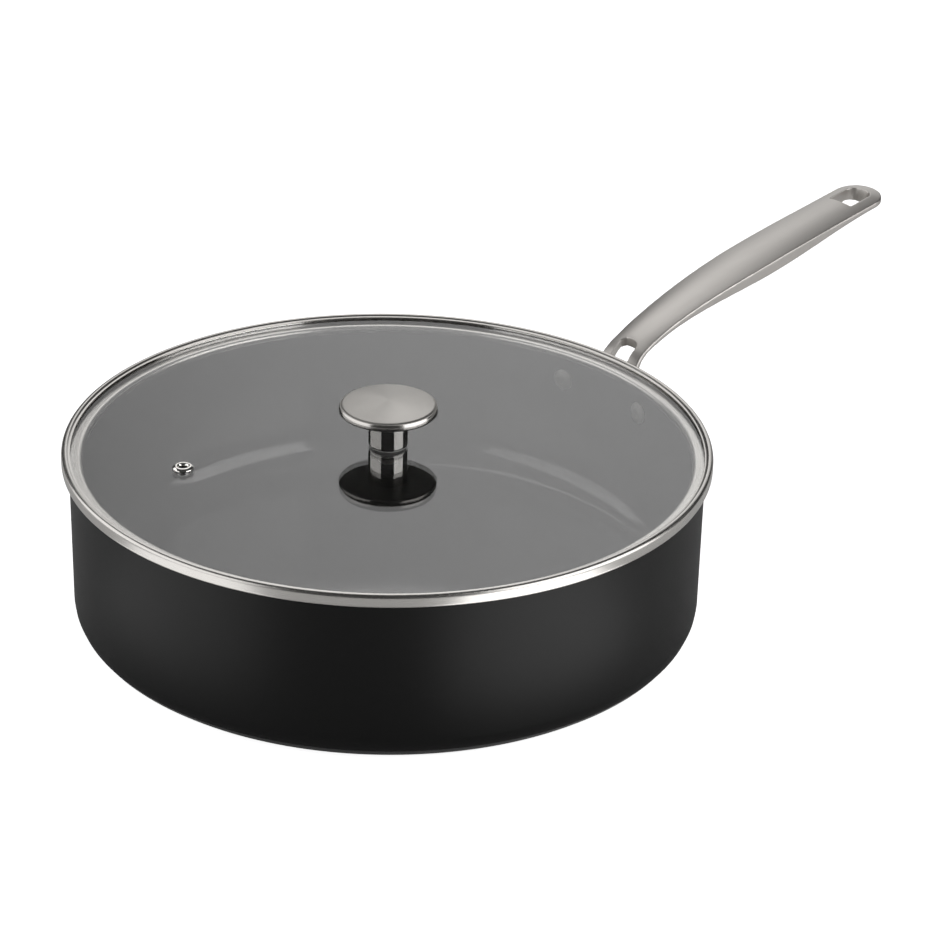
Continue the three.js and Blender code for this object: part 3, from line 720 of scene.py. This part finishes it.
class SAUTE_OT_pan_body(bpy.types.Operator):
    """Turn the pan's body: dark anodised outside, coated inside"""

    bl_idname = "saute.pan_body"
    bl_label = "Pan Body"

    def execute(self, context):
        size = pan_sizes()
        recess = PLATE_RADIUS + size.clearance
        recess_top = PLATE_TOP + size.clearance
        inside = PAN_RADIUS - size.wall
        bm = turned([
            (0, recess_top, 0),
            (recess, recess_top, 0),
            (recess, 0, size.clearance),
            (PAN_RADIUS - size.taper, 0, size.base_corner),
            (PAN_RADIUS, PAN_HEIGHT, size.rim_round),
            (inside, PAN_HEIGHT, size.rim_round),
            (inside - size.taper, size.floor, size.fillet),
            (0, size.floor, 0),
        ], RING_STEPS)
        for face in bm.faces:
            centre = face.calc_center_median()
            coated = centre.xy.length < PAN_RADIUS - size.wall / 2 and centre.z > size.floor / 2
            face.material_index = int(coated)
        piece = to_object("pan_body_shell", bm, anodised_aluminium(), nonstick_coating())
        dress(piece, "pan", "pan_body")
        return {"FINISHED"}


class SAUTE_OT_plate(bpy.types.Operator):
    """Turn the steel plate in the pan's underside"""

    bl_idname = "saute.plate"
    bl_label = "Induction Plate"

    def execute(self, context):
        edge = pan_sizes().clearance
        bm = turned([(0, 0, 0), (PLATE_RADIUS, 0, edge), (PLATE_RADIUS, PLATE_TOP, 0), (0, PLATE_TOP, 0)],
                    RING_STEPS)
        dress(to_object("induction_plate_disc", bm, plate_steel()), "pan", "induction_plate")
        return {"FINISHED"}


# Handle.


def eased(keys, at):
    """A value that eases from one key of place and value to the next."""
    if at <= keys[0][0]:
        return keys[0][1]
    for (start, first), (end, second) in zip(keys, keys[1:]):
        if at < end:
            part = (at - start) / (end - start)
            return first + (second - first) * part * part * (3 - 2 * part)
    return keys[-1][1]


def slope(angle):
    """A direction in the XZ plane."""
    return Vector((math.cos(angle), 0, math.sin(angle)))


def flange_middle():
    """The height of the rivets."""
    return FLANGE_BOTTOM + handle_sizes().flange_height / 2


class HandleLine:
    """The top edge of the handle, seen from the side, with places as distances from the bend."""

    def __init__(self):
        size = handle_sizes()
        foot = Vector((PAN_RADIUS + size.wall_gap, 0, flange_middle()))
        bend = Vector((LID_RADIUS + size.bend_out, 0, PAN_HEIGHT + size.bend_rise))
        tip = Vector((PAN_RADIUS + size.reach, 0, PAN_HEIGHT + size.rise))
        out = slope(size.bend_angle)
        rise = interpolate_bezier(foot, foot + UP * size.foot_pull,
                                  bend - out * size.bend_pull, bend, LINE_STEPS)
        grip = interpolate_bezier(bend, bend + out * size.bend_lead,
                                  tip - slope(size.tip_angle) * size.tip_lead, tip, LINE_STEPS)
        self.points = rise[:-1] + grip
        self.places = [0.0]
        for first, second in zip(self.points, self.points[1:]):
            self.places.append(self.places[-1] + (second - first).length)
        foot_length = self.places[len(rise) - 1]
        self.places = [place - foot_length for place in self.places]
        self.bend = bend
        self.foot, self.end = self.places[0], self.places[-1]
        self.tip_start = self.end - size.tip_round

    def at(self, place):
        """The point and the direction of the line at a place."""
        i = min(max(bisect_right(self.places, place), 1), len(self.points) - 1)
        first, second = self.points[i - 1], self.points[i]
        part = (place - self.places[i - 1]) / (self.places[i] - self.places[i - 1])
        return first.lerp(second, part), (second - first).normalized()

    def stations(self):
        """Where the sections lie: evenly along the handle, then crowding towards the tip."""
        straight, tip = self.tip_start - self.foot, self.end - self.tip_start
        count = round(straight / STATION)
        even = [self.foot + straight * i / count for i in range(count)]
        return even + [self.tip_start + tip * math.sin(math.pi / 2 * i / TIP_STEPS) for i in range(TIP_STEPS)]


def handle_section(line, place):
    """One section of the handle: crowned top, upright edges and a rounded belly."""
    size = handle_sizes()
    foot, tip = line.foot, line.tip_start
    rounded = math.sqrt(max(1 - (max(place - tip, 0) / size.tip_round) ** 2, 0))
    half = rounded / 2 * eased([(foot, size.foot_width), (size.neck_at, size.neck_width),
                                (size.grip_at, size.grip_width), (tip, size.tip_width)], place)
    edge = eased([(foot, size.flange_thickness), (size.neck_at, size.neck_edge),
                  (size.grip_at, size.grip_edge), (tip, size.tip_edge)], place)
    crown = eased([(foot, 0), (size.crown_at, size.crown)], place) * rounded ** 2
    fall = eased([(foot, 0), (size.crown_at, size.neck_belly), (tip, size.tip_belly)], place) * rounded ** 2
    point, along = line.at(place)
    up = along.cross(ACROSS)
    shares = [2 * k / CROWN_STEPS - 1 for k in range(CROWN_STEPS + 1)]
    top = [point + ACROSS * half * u + up * crown * (1 - u * u) for u in shares]
    belly = [point + ACROSS * half * u - up * (edge + fall * (1 - u * u)) for u in reversed(shares)]
    return top + belly


def loft(bm, sections):
    """Bridge rings of points and close both ends."""
    rings = []
    for section in sections:
        verts = [bm.verts.new(point) for point in section]
        rings.append([bm.edges.new(ends) for ends in zip(verts, verts[1:] + verts[:1])])
    for first, second in zip(rings, rings[1:]):
        bmesh.ops.bridge_loops(bm, edges=first + second)
    for end in (rings[0], rings[-1]):
        bmesh.ops.contextual_create(bm, geom=end)


def add_flange(bm):
    """Add a bar with round corners, bent to the pan's wall."""
    size = handle_sizes()
    bar = tongue(-FLANGE_HALF, FLANGE_HALF, size.flange_height, size.flange_corner, size.flange_corner)
    flat = prism(bar, 0, size.flange_thickness)
    cuts = round(FLANGE_HALF / STATION)
    for i in range(1, cuts):
        bmesh.ops.bisect_plane(flat, geom=flat.verts[:] + flat.edges[:] + flat.faces[:],
                               plane_co=(FLANGE_HALF * (2 * i / cuts - 1), 0, 0), plane_no=(1, 0, 0))
    start = PAN_RADIUS + size.wall_gap
    for vert in flat.verts:
        across, rise, out = vert.co
        angle = math.asin(across / start)
        vert.co = ((start + out) * math.cos(angle), (start + out) * math.sin(angle), flange_middle() - rise)
    part = bpy.data.meshes.new("flange")
    flat.to_mesh(part)
    flat.free()
    bm.from_mesh(part)
    bpy.data.meshes.remove(part)


class SAUTE_OT_handle(bpy.types.Operator):
    """Loft the cast handle, cut its fork and hanging hole, and soften it as a casting"""

    bl_idname = "saute.handle"
    bl_label = "Handle"

    def execute(self, context):
        size = handle_sizes()
        line = HandleLine()
        bm = bmesh.new()
        loft(bm, [handle_section(line, place) for place in line.stations()])
        bmesh.ops.recalc_face_normals(bm, faces=bm.faces[:])
        add_flange(bm)
        bmesh.ops.recalc_face_normals(bm, faces=bm.faces[:])
        piece = to_object("handle_casting", bm, cast_steel())
        cut(piece, self.slot(size, line), self.hole(size, line))
        remesh = piece.modifiers.new("casting", "REMESH")
        remesh.mode = "VOXEL"
        remesh.voxel_size = size.grain
        remesh.use_smooth_shade = True
        smooth = piece.modifiers.new("softened", "SMOOTH")
        smooth.factor = CAST_SMOOTHING
        smooth.iterations = CAST_ROUNDS
        apply_modifiers(piece)
        piece.data.shade_smooth()
        dress(piece, "pan", "handle")
        return {"FINISHED"}

    def slot(self, size, line):
        """What is cut out between the arms of the fork."""
        low = FLANGE_BOTTOM + size.flange_height - size.slot_ledge
        end = line.bend.x + size.slot_past_bend
        return prism(tongue(PAN_RADIUS / 2, end, size.slot_width, size.slot_corner, size.slot_corner),
                     low, low + PAN_HEIGHT)

    def hole(self, size, line):
        """What is cut out for the hanging hole, leaning towards the pan."""
        mouth = line.at(line.end - size.hole_wall - size.hole_length / 2)[0] + UP * size.crown
        reach = size.hole_length / 2 * math.cos(size.hole_lean)
        lean = Matrix.Rotation(size.hole_lean - size.tip_angle, 4, "Y")
        return prism(tongue(-reach, reach, size.hole_width, size.hole_corner, size.hole_round),
                     -PAN_HEIGHT / 2, PAN_HEIGHT / 2, Matrix.Translation(mouth) @ lean)


class SAUTE_OT_rivets(bpy.types.Operator):
    """Turn the two rivets, with plain heads inside and peened tails outside"""

    bl_idname = "saute.rivets"
    bl_label = "Rivets"

    def execute(self, context):
        size = pan_sizes()
        angle = math.asin(size.rivet_spacing / 2 / PAN_RADIUS)
        for side, name in ((1, "left"), (-1, "right")):
            bm = self.rivet(size)
            out = Vector((math.cos(angle), side * math.sin(angle), 0))
            axes = Matrix((UP.cross(out), UP, out)).transposed().to_4x4()
            place = Matrix.Translation(UP * flange_middle()) @ axes
            bmesh.ops.transform(bm, matrix=place, verts=bm.verts[:])
            piece = to_object(f"rivet_{name}", bm, plate_steel(), dark_steel())
            dress(piece, "pan", f"handle_rivet_{name}")
        return {"FINISHED"}

    def rivet(self, size):
        """A rivet along Z, with its places measured from the pan's axis."""
        head_seat = math.sqrt((PAN_RADIUS - size.wall) ** 2 - (size.rivet_head / 2) ** 2) - size.taper
        head_top = head_seat - size.rivet_rise
        tail_seat = PAN_RADIUS + handle_sizes().wall_gap * 2 + handle_sizes().flange_thickness
        tail_top = tail_seat + size.rivet_rise
        bm = turned([
            (0, head_top, 0),
            (size.rivet_face / 2, head_top, size.rivet_rise / 4),
            (size.rivet_head / 2, head_seat - size.rivet_rise / 3, size.rivet_rise / 4),
            (size.rivet_head / 2, head_seat, 0),
            (size.rivet_shank / 2, head_seat, 0),
            (size.rivet_shank / 2, tail_seat, 0),
            (size.rivet_tail / 2, tail_seat, 0),
            (size.rivet_tail / 2, tail_seat + size.rivet_rise / 3, size.rivet_rise / 3),
            (size.rivet_tail / 4, tail_top, size.rivet_rise / 2),
            (0, tail_top, 0),
        ], SMALL_STEPS)
        for face in bm.faces:
            face.material_index = int(face.calc_center_median().z < head_seat)
        return bm


# Lid.


class SAUTE_OT_lid_glass(bpy.types.Operator):
    """Turn the lid's glass and cut the vent's hole"""

    bl_idname = "saute.lid_glass"
    bl_label = "Lid Glass"

    def execute(self, context):
        size = lid_sizes()
        bm = turned(ring(size.knob_hole, GLASS_RADIUS, GLASS_BOTTOM, GLASS_TOP, size.glass_edge), RING_STEPS,
                    closed=True)
        piece = to_object("lid_glass_pane", bm, tempered_glass())
        hole = bmesh.new()
        bmesh.ops.create_cone(hole, cap_ends=True, segments=SMALL_STEPS, radius1=size.vent_hole,
                              radius2=size.vent_hole, depth=PAN_HEIGHT)
        bmesh.ops.translate(hole, vec=(VENT_CENTRE.x, VENT_CENTRE.y, GLASS_TOP), verts=hole.verts[:])
        cut(piece, hole)
        dress(piece, "lid", "lid_glass")
        return {"FINISHED"}


class SAUTE_OT_lid_band(bpy.types.Operator):
    """Roll the lid's steel band: lip, flank, bead, outer face, seat and skirt"""

    bl_idname = "saute.lid_band"
    bl_label = "Lid Band"

    def execute(self, context):
        size = lid_sizes()
        lip = GLASS_TOP + size.lip_rise
        seat = GLASS_BOTTOM - pan_sizes().clearance - size.sheet
        skirt = PAN_RADIUS - pan_sizes().wall - size.skirt_clearance
        bm = rolled([
            (LID_RADIUS - size.lip_reach, lip, 0),
            (LID_RADIUS - size.flank_foot, lip, size.flank_round),
            (LID_RADIUS - size.crest_width, BAND_TOP, size.flank_round),
            (LID_RADIUS, BAND_TOP, size.crest_round),
            (LID_RADIUS, seat, size.seat_round),
            (skirt, seat, size.seat_round),
            (skirt, BAND_BOTTOM, 0),
        ], size.sheet, RING_STEPS)
        piece = to_object("lid_band_ring", bm, band_steel())
        soften(piece, size.sheet / 4)
        dress(piece, "lid", "lid_band")
        return {"FINISHED"}


class SAUTE_OT_vent(bpy.types.Operator):
    """Turn the steam vent's eyelet and its soft washer"""

    bl_idname = "saute.vent"
    bl_label = "Steam Vent"

    def execute(self, context):
        size = lid_sizes()
        low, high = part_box("vent_washer")
        washer = turned(ring(size.vent_hole, (high.y - low.y) / 2, low.z, high.z, size.vent_edge),
                        SMALL_STEPS, closed=True)
        made = ((self.eyelet(size), "vent_eyelet_turned", mirror_steel, "polished_steel", "vent_eyelet"),
                (washer, "vent_washer_ring", grey_rubber, "grey_silicone", "vent_washer"))
        for bm, name, finish, slot, node in made:
            bmesh.ops.translate(bm, vec=(VENT_CENTRE.x, VENT_CENTRE.y, 0), verts=bm.verts[:])
            dress(to_object(name, bm, finish()), "lid", node)
        return {"FINISHED"}

    def eyelet(self, size):
        """The eyelet about the Z axis: flared below, with a flange and a raised ring above the glass."""
        low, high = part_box("vent_eyelet")
        radius = (high.y - low.y) / 2
        flare, flare_top = radius - size.vent_inset, low.z + size.vent_flare
        seat = GLASS_TOP + pan_sizes().clearance
        rim = seat + size.vent_rim
        rim_below, rim_above = size.vent_rim_edge
        ring_outside, ring_inside = size.vent_ring_edge
        return turned([
            (size.vent_bore, low.z, size.vent_edge),
            (flare, low.z, size.vent_soft),
            (flare, flare_top, size.vent_soft),
            (size.vent_tube, flare_top, 0),
            (size.vent_tube, seat, 0),
            (radius, seat, rim_below),
            (radius, rim, rim_above),
            (size.vent_shoulder, high.z, ring_outside),
            (size.vent_tube, high.z, ring_inside),
            (size.vent_bore, rim, size.vent_soft),
        ], SMALL_STEPS, closed=True)


# Knob.


class SAUTE_OT_knob(bpy.types.Operator):
    """Turn the knob's head and stem, the clear seal below it and the steel washer"""

    bl_idname = "saute.knob"
    bl_label = "Knob"

    def execute(self, context):
        size = knob_sizes()
        foot = GLASS_TOP + size.seal
        self.head(size)
        self.stem(size, foot)
        self.washer(size, "knob_seal", GLASS_TOP + MERGE, foot - MERGE, clear_rubber, "clear_silicone")
        low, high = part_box("knob_washer")
        self.washer(size, "knob_washer", low.z, high.z, plate_steel, "plate_steel")
        return {"FINISHED"}

    def head(self, size):
        """The hollow head: satin top, polished edge, and an underside in darkened steel that paints the shade
        below the head.
        """
        low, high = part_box("knob_head")
        top_edge = high.y - size.lean
        crown_foot = high.z - size.crown
        widest = crown_foot - size.side
        side = [(high.y - size.lean * part ** 2, widest + size.side * part, 0)
                for part in (i / SIDE_STEPS for i in range(SIDE_STEPS))]
        crown = [(top_edge * part, high.z - size.crown * part ** 2, 0)
                 for part in (1 - i / CROWN_STEPS for i in range(1, CROWN_STEPS + 1))]
        bm = rolled([
            (size.spigot + size.spigot_gap, low.z + size.dish, 0),
            (high.y - size.undercut, low.z, 0),
            (high.y, low.z, size.undercut),
            *side,
            (top_edge, crown_foot, size.edge),
            *crown,
        ], size.shell, KNOB_STEPS)
        satin, polished, plain = range(3)
        for face in bm.faces:
            centre = face.calc_center_median()
            face.material_index = satin
            # Faces under the head take the dark steel, as painted shade.
            if centre.z < low.z + size.dish:
                face.material_index = plain
            elif face.normal.z < size.satin_from and centre.xy.length > top_edge - size.edge:
                face.material_index = polished
        piece = to_object("knob_head_shell", bm, knob_steel(), rim_steel(), dark_steel())
        dress(piece, "lid", "knob_head")

    def stem(self, size, foot):
        """The stem, with a hole for the screw and a spigot in the head."""
        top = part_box("knob_stem")[1]
        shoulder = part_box("knob_head")[0].z + size.dish - size.spigot_gap
        bm = turned([
            (0, top.z - size.shell, 0),
            (size.bore, top.z - size.shell, 0),
            (size.bore, foot, 0),
            (top.y, foot, size.stem_round),
            (top.y, shoulder, size.stem_edge),
            (size.spigot, shoulder, 0),
            (size.spigot, top.z, size.stem_edge),
            (0, top.z, 0),
        ], KNOB_STEPS)
        dress(to_object("knob_stem_turned", bm, mirror_steel()), "lid", "knob_stem")

    def washer(self, size, node, low, high, finish, slot):
        """A flat ring round the screw."""
        bm = turned(ring(size.bore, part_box(node)[1].y, low, high, (high - low) / 4), SMALL_STEPS, closed=True)
        dress(to_object(f"{node}_ring", bm, finish()), "lid", node)


class SAUTE_OT_knob_fasteners(bpy.types.Operator):
    """Make the grommet, the spring washer and the screw below the glass"""

    bl_idname = "saute.knob_fasteners"
    bl_label = "Knob Fasteners"

    def execute(self, context):
        size = knob_sizes()
        self.grommet(size)
        self.spring_washer(size)
        self.screw(size)
        return {"FINISHED"}

    def grommet(self, size):
        """A soft collar in the glass, with a flange below it."""
        low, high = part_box("knob_grommet")
        flange_top = GLASS_BOTTOM - pan_sizes().clearance
        edge = size.soft_edge
        bm = turned([
            (size.bore, low.z, edge),
            (high.y, low.z, edge),
            (high.y, flange_top, edge),
            (size.sleeve, flange_top, 0),
            (size.sleeve, high.z, edge),
            (size.bore, high.z, edge),
        ], SMALL_STEPS, closed=True)
        dress(to_object("knob_grommet_collar", bm, grey_rubber()), "lid", "knob_grommet")

    def spring_washer(self, size):
        """A ring that is split at one place."""
        low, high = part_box("knob_spring_washer")
        bm = bmesh.new()
        outline(bm, ring(size.bore, high.y, low.z, high.z, size.soft_edge), closed=True)
        bmesh.ops.contextual_create(bm, geom=bm.edges[:])
        bmesh.ops.rotate(bm, matrix=Matrix.Rotation(size.split / 2, 3, "Z"), verts=bm.verts[:])
        spin_round(bm, SMALL_STEPS, math.tau - size.split)
        dress(to_object("knob_spring_ring", bm, plate_steel()), "lid", "knob_spring_washer")

    def screw(self, size):
        """A pan head with a cross recess below, and its shank."""
        low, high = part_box("knob_screw")
        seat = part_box("knob_spring_washer")[0].z - pan_sizes().clearance
        bm = turned([
            (0, low.z, 0),
            (high.y, low.z, (seat - low.z) / 2),
            (high.y, seat, 0),
            (size.shank, seat, 0),
            (size.shank, high.z, size.shank / 4),
            (0, high.z, 0),
        ], SMALL_STEPS)
        piece = to_object("knob_screw_turned", bm, plate_steel())
        arms = []
        for angle in (0, math.pi / 2):
            arm = bmesh.new()
            bmesh.ops.create_cube(arm, size=1)
            bmesh.ops.scale(arm, vec=(size.drive_span, size.drive_width, size.drive_depth * 2),
                            verts=arm.verts[:])
            place = Matrix.Translation(UP * low.z) @ Matrix.Rotation(angle, 4, "Z")
            bmesh.ops.transform(arm, matrix=place, verts=arm.verts[:])
            arms.append(arm)
        cut(piece, *arms)
        dress(piece, "lid", "knob_screw")


# Stage.


def add_camera(stage):
    """A camera whose picture shows the middle of the glass at its pixel."""
    facing = (Matrix.Rotation(stage.azimuth, 3, "Z") @ Matrix.Rotation(math.pi / 2 - stage.elevation, 3, "X")
              @ Matrix.Rotation(stage.roll, 3, "Z"))
    data = bpy.data.cameras.new("camera")
    data.sensor_fit = "HORIZONTAL"
    data.lens = stage.lens
    pixels = stage.lens / data.sensor_width * stage.picture
    aside, below = (pixel - stage.picture / 2 for pixel in stage.lid_centre)
    towards = facing @ Vector((aside / pixels, -below / pixels, -1))
    camera = bpy.data.objects.new("camera", data)
    camera.matrix_world = Matrix.Translation(UP * GLASS_TOP - towards * stage.distance) @ facing.to_4x4()
    bpy.context.scene.collection.objects.link(camera)
    bpy.context.scene.camera = camera


def bearing(stage, light):
    """The turn about the pan's axis to a light whose bearing starts at the camera's side."""
    return Matrix.Rotation(stage.azimuth - math.pi / 2 + getattr(stage, f"{light}_bearing"), 4, "Z")


def add_light(name, size, watts, matrix):
    """A soft light that the camera does not see."""
    light = bpy.data.lights.new(name, "AREA")
    light.shape = "RECTANGLE"
    light.size, light.size_y = size
    light.energy = watts
    lamp = bpy.data.objects.new(name, light)
    lamp.matrix_world = matrix
    lamp.visible_camera = False
    bpy.context.scene.collection.objects.link(lamp)


def add_softbox(stage, side, aim_height):
    """A softbox at its bearing, aimed at a height on the pan's axis."""
    distance, height = getattr(stage, f"{side}_place")
    place = bearing(stage, side) @ Vector((distance, 0, height))
    aim = (UP * aim_height - place).to_track_quat("-Z", "Y").to_matrix().to_4x4()
    add_light(f"{side}_softbox", getattr(stage, f"{side}_size"), getattr(stage, f"{side}_power"),
              Matrix.Translation(place) @ aim)


def add_card(stage, side):
    """A shining card that lies on the floor beside the pan and shows in its wall."""
    distance, height = stage.card_place
    face_up = Matrix.Rotation(math.pi, 4, "X")
    add_light(f"{side}_card", stage.card_size, getattr(stage, f"{side}_card_power"),
              bearing(stage, f"{side}_card") @ Matrix.Translation((distance, 0, height)) @ face_up)


def seen_directly(tree):
    """1 where the camera looks at something itself or through glass, and 0 after any other bounce."""
    path = put(tree, "ShaderNodeLightPath").outputs
    bounced = maths(tree, "ADD", path["Diffuse Depth"], path["Glossy Depth"])
    through = maths(tree, "MULTIPLY", path["Is Transmission Ray"], maths(tree, "LESS_THAN", bounced, 0.5))
    return maths(tree, "MAXIMUM", path["Is Camera Ray"], through)


def light_world(stage):
    """White behind the pan, dark above and behind the camera, and plain white where the camera looks."""
    world = bpy.data.worlds.new("studio")
    world.use_nodes = True
    bpy.context.scene.world = world
    tree = world.node_tree
    tree.nodes.clear()
    towards = put(tree, "ShaderNodeTexCoord").outputs["Generated"]
    level = vectors(tree, "NORMALIZE", "Vector", vectors(tree, "MULTIPLY", "Vector", towards, (1, 1, 0)))
    behind = Matrix.Rotation(stage.azimuth - stage.backdrop_turn, 3, "Z") @ ACROSS
    facing = vectors(tree, "DOT_PRODUCT", "Value", level, behind)
    height = put(tree, "ShaderNodeSeparateXYZ", {0: towards}).outputs["Z"]
    sideways = ramp(tree, facing, *stage.backdrop_sides, shape="SMOOTHSTEP")
    upwards = ramp(tree, height, *stage.backdrop_top, shape="SMOOTHSTEP")
    rising = ramp(tree, height, *stage.backdrop_rise, *stage.backdrop_level)
    white = maths(tree, "MULTIPLY", maths(tree, "MULTIPLY", sideways, upwards), rising)
    room = mix(tree, white, (*stage.room, 1), (*stage.backdrop, 1), clamp_factor=False)
    final = mix(tree, seen_directly(tree), room, (1, 1, 1, 1))
    background = put(tree, "ShaderNodeBackground", {"Color": final, "Strength": 1.0})
    put(tree, "ShaderNodeOutputWorld", {"Surface": background.outputs[0]})


@shared_finish
def pale_floor(tree, shader):
    """A pale floor that looks white and still takes the pan's shadow."""
    stage = stage_settings()
    grain = noise(tree, object_place(tree), cells=30)
    tree.links.new(tones(tree, grain, stage.floor, spread=0.01), shader.inputs["Base Color"])
    shader.inputs["Roughness"].default_value = stage.floor_rough
    shader.inputs["Specular IOR Level"].default_value = stage.floor_shine
    glow = maths(tree, "MULTIPLY", seen_directly(tree), stage.floor_glow)
    shine = put(tree, "ShaderNodeEmission", {"Strength": glow}).outputs[0]
    return put(tree, "ShaderNodeAddShader", {0: shader.outputs["BSDF"], 1: shine}).outputs[0]


class SAUTE_OT_stage(bpy.types.Operator):
    """Set the floor, the lights and the camera"""

    bl_idname = "saute.stage"
    bl_label = "Stage"

    def execute(self, context):
        stage = stage_settings()
        bm = bmesh.new()
        bmesh.ops.create_grid(bm, x_segments=1, y_segments=1, size=stage.floor_half)
        bmesh.ops.translate(bm, vec=-UP * stage.floor_gap, verts=bm.verts[:])
        to_object("floor", bm, pale_floor())
        light_world(stage)
        for side in ("left", "right"):
            add_softbox(stage, side, getattr(stage, f"{side}_place")[1])
            add_card(stage, side)
        add_softbox(stage, "back", GLASS_TOP)
        add_camera(stage)
        context.scene.view_settings.view_transform = "Standard"
        return {"FINISHED"}


class SAUTE_PT_panel(bpy.types.Panel):
    """Buttons that make the pan, the lid and the stage"""

    bl_idname = "SAUTE_PT_panel"
    bl_label = "Saute Pan"
    bl_space_type = "VIEW_3D"
    bl_region_type = "UI"
    bl_category = "Saute Pan"

    def draw(self, context):
        for operator in OPERATORS:
            self.layout.operator(operator.bl_idname)


GROUPS = {
    "saute_pan": PanSizes,
    "saute_handle": HandleSizes,
    "saute_lid": LidSizes,
    "saute_knob": KnobSizes,
    "saute_finishes": Finishes,
    "saute_stage": StageSettings,
}
OPERATORS = (
    SAUTE_OT_stage,
    SAUTE_OT_pan_body,
    SAUTE_OT_plate,
    SAUTE_OT_handle,
    SAUTE_OT_rivets,
    SAUTE_OT_lid_glass,
    SAUTE_OT_lid_band,
    SAUTE_OT_vent,
    SAUTE_OT_knob,
    SAUTE_OT_knob_fasteners,
)


def register():
    for group in GROUPS.values():
        bpy.utils.register_class(group)
    for name, group in GROUPS.items():
        setattr(bpy.types.Scene, name, PointerProperty(type=group))
    for operator in OPERATORS:
        bpy.utils.register_class(operator)
    bpy.utils.register_class(SAUTE_PT_panel)


def unregister():
    bpy.utils.unregister_class(SAUTE_PT_panel)
    for operator in reversed(OPERATORS):
        bpy.utils.unregister_class(operator)
    for name, group in reversed(GROUPS.items()):
        delattr(bpy.types.Scene, name)
        bpy.utils.unregister_class(group)


def main():
    register()
    for operator in OPERATORS:
        family, name = operator.bl_idname.split(".")
        getattr(getattr(bpy.ops, family), name)()


if __name__ == "__main__":
    main()
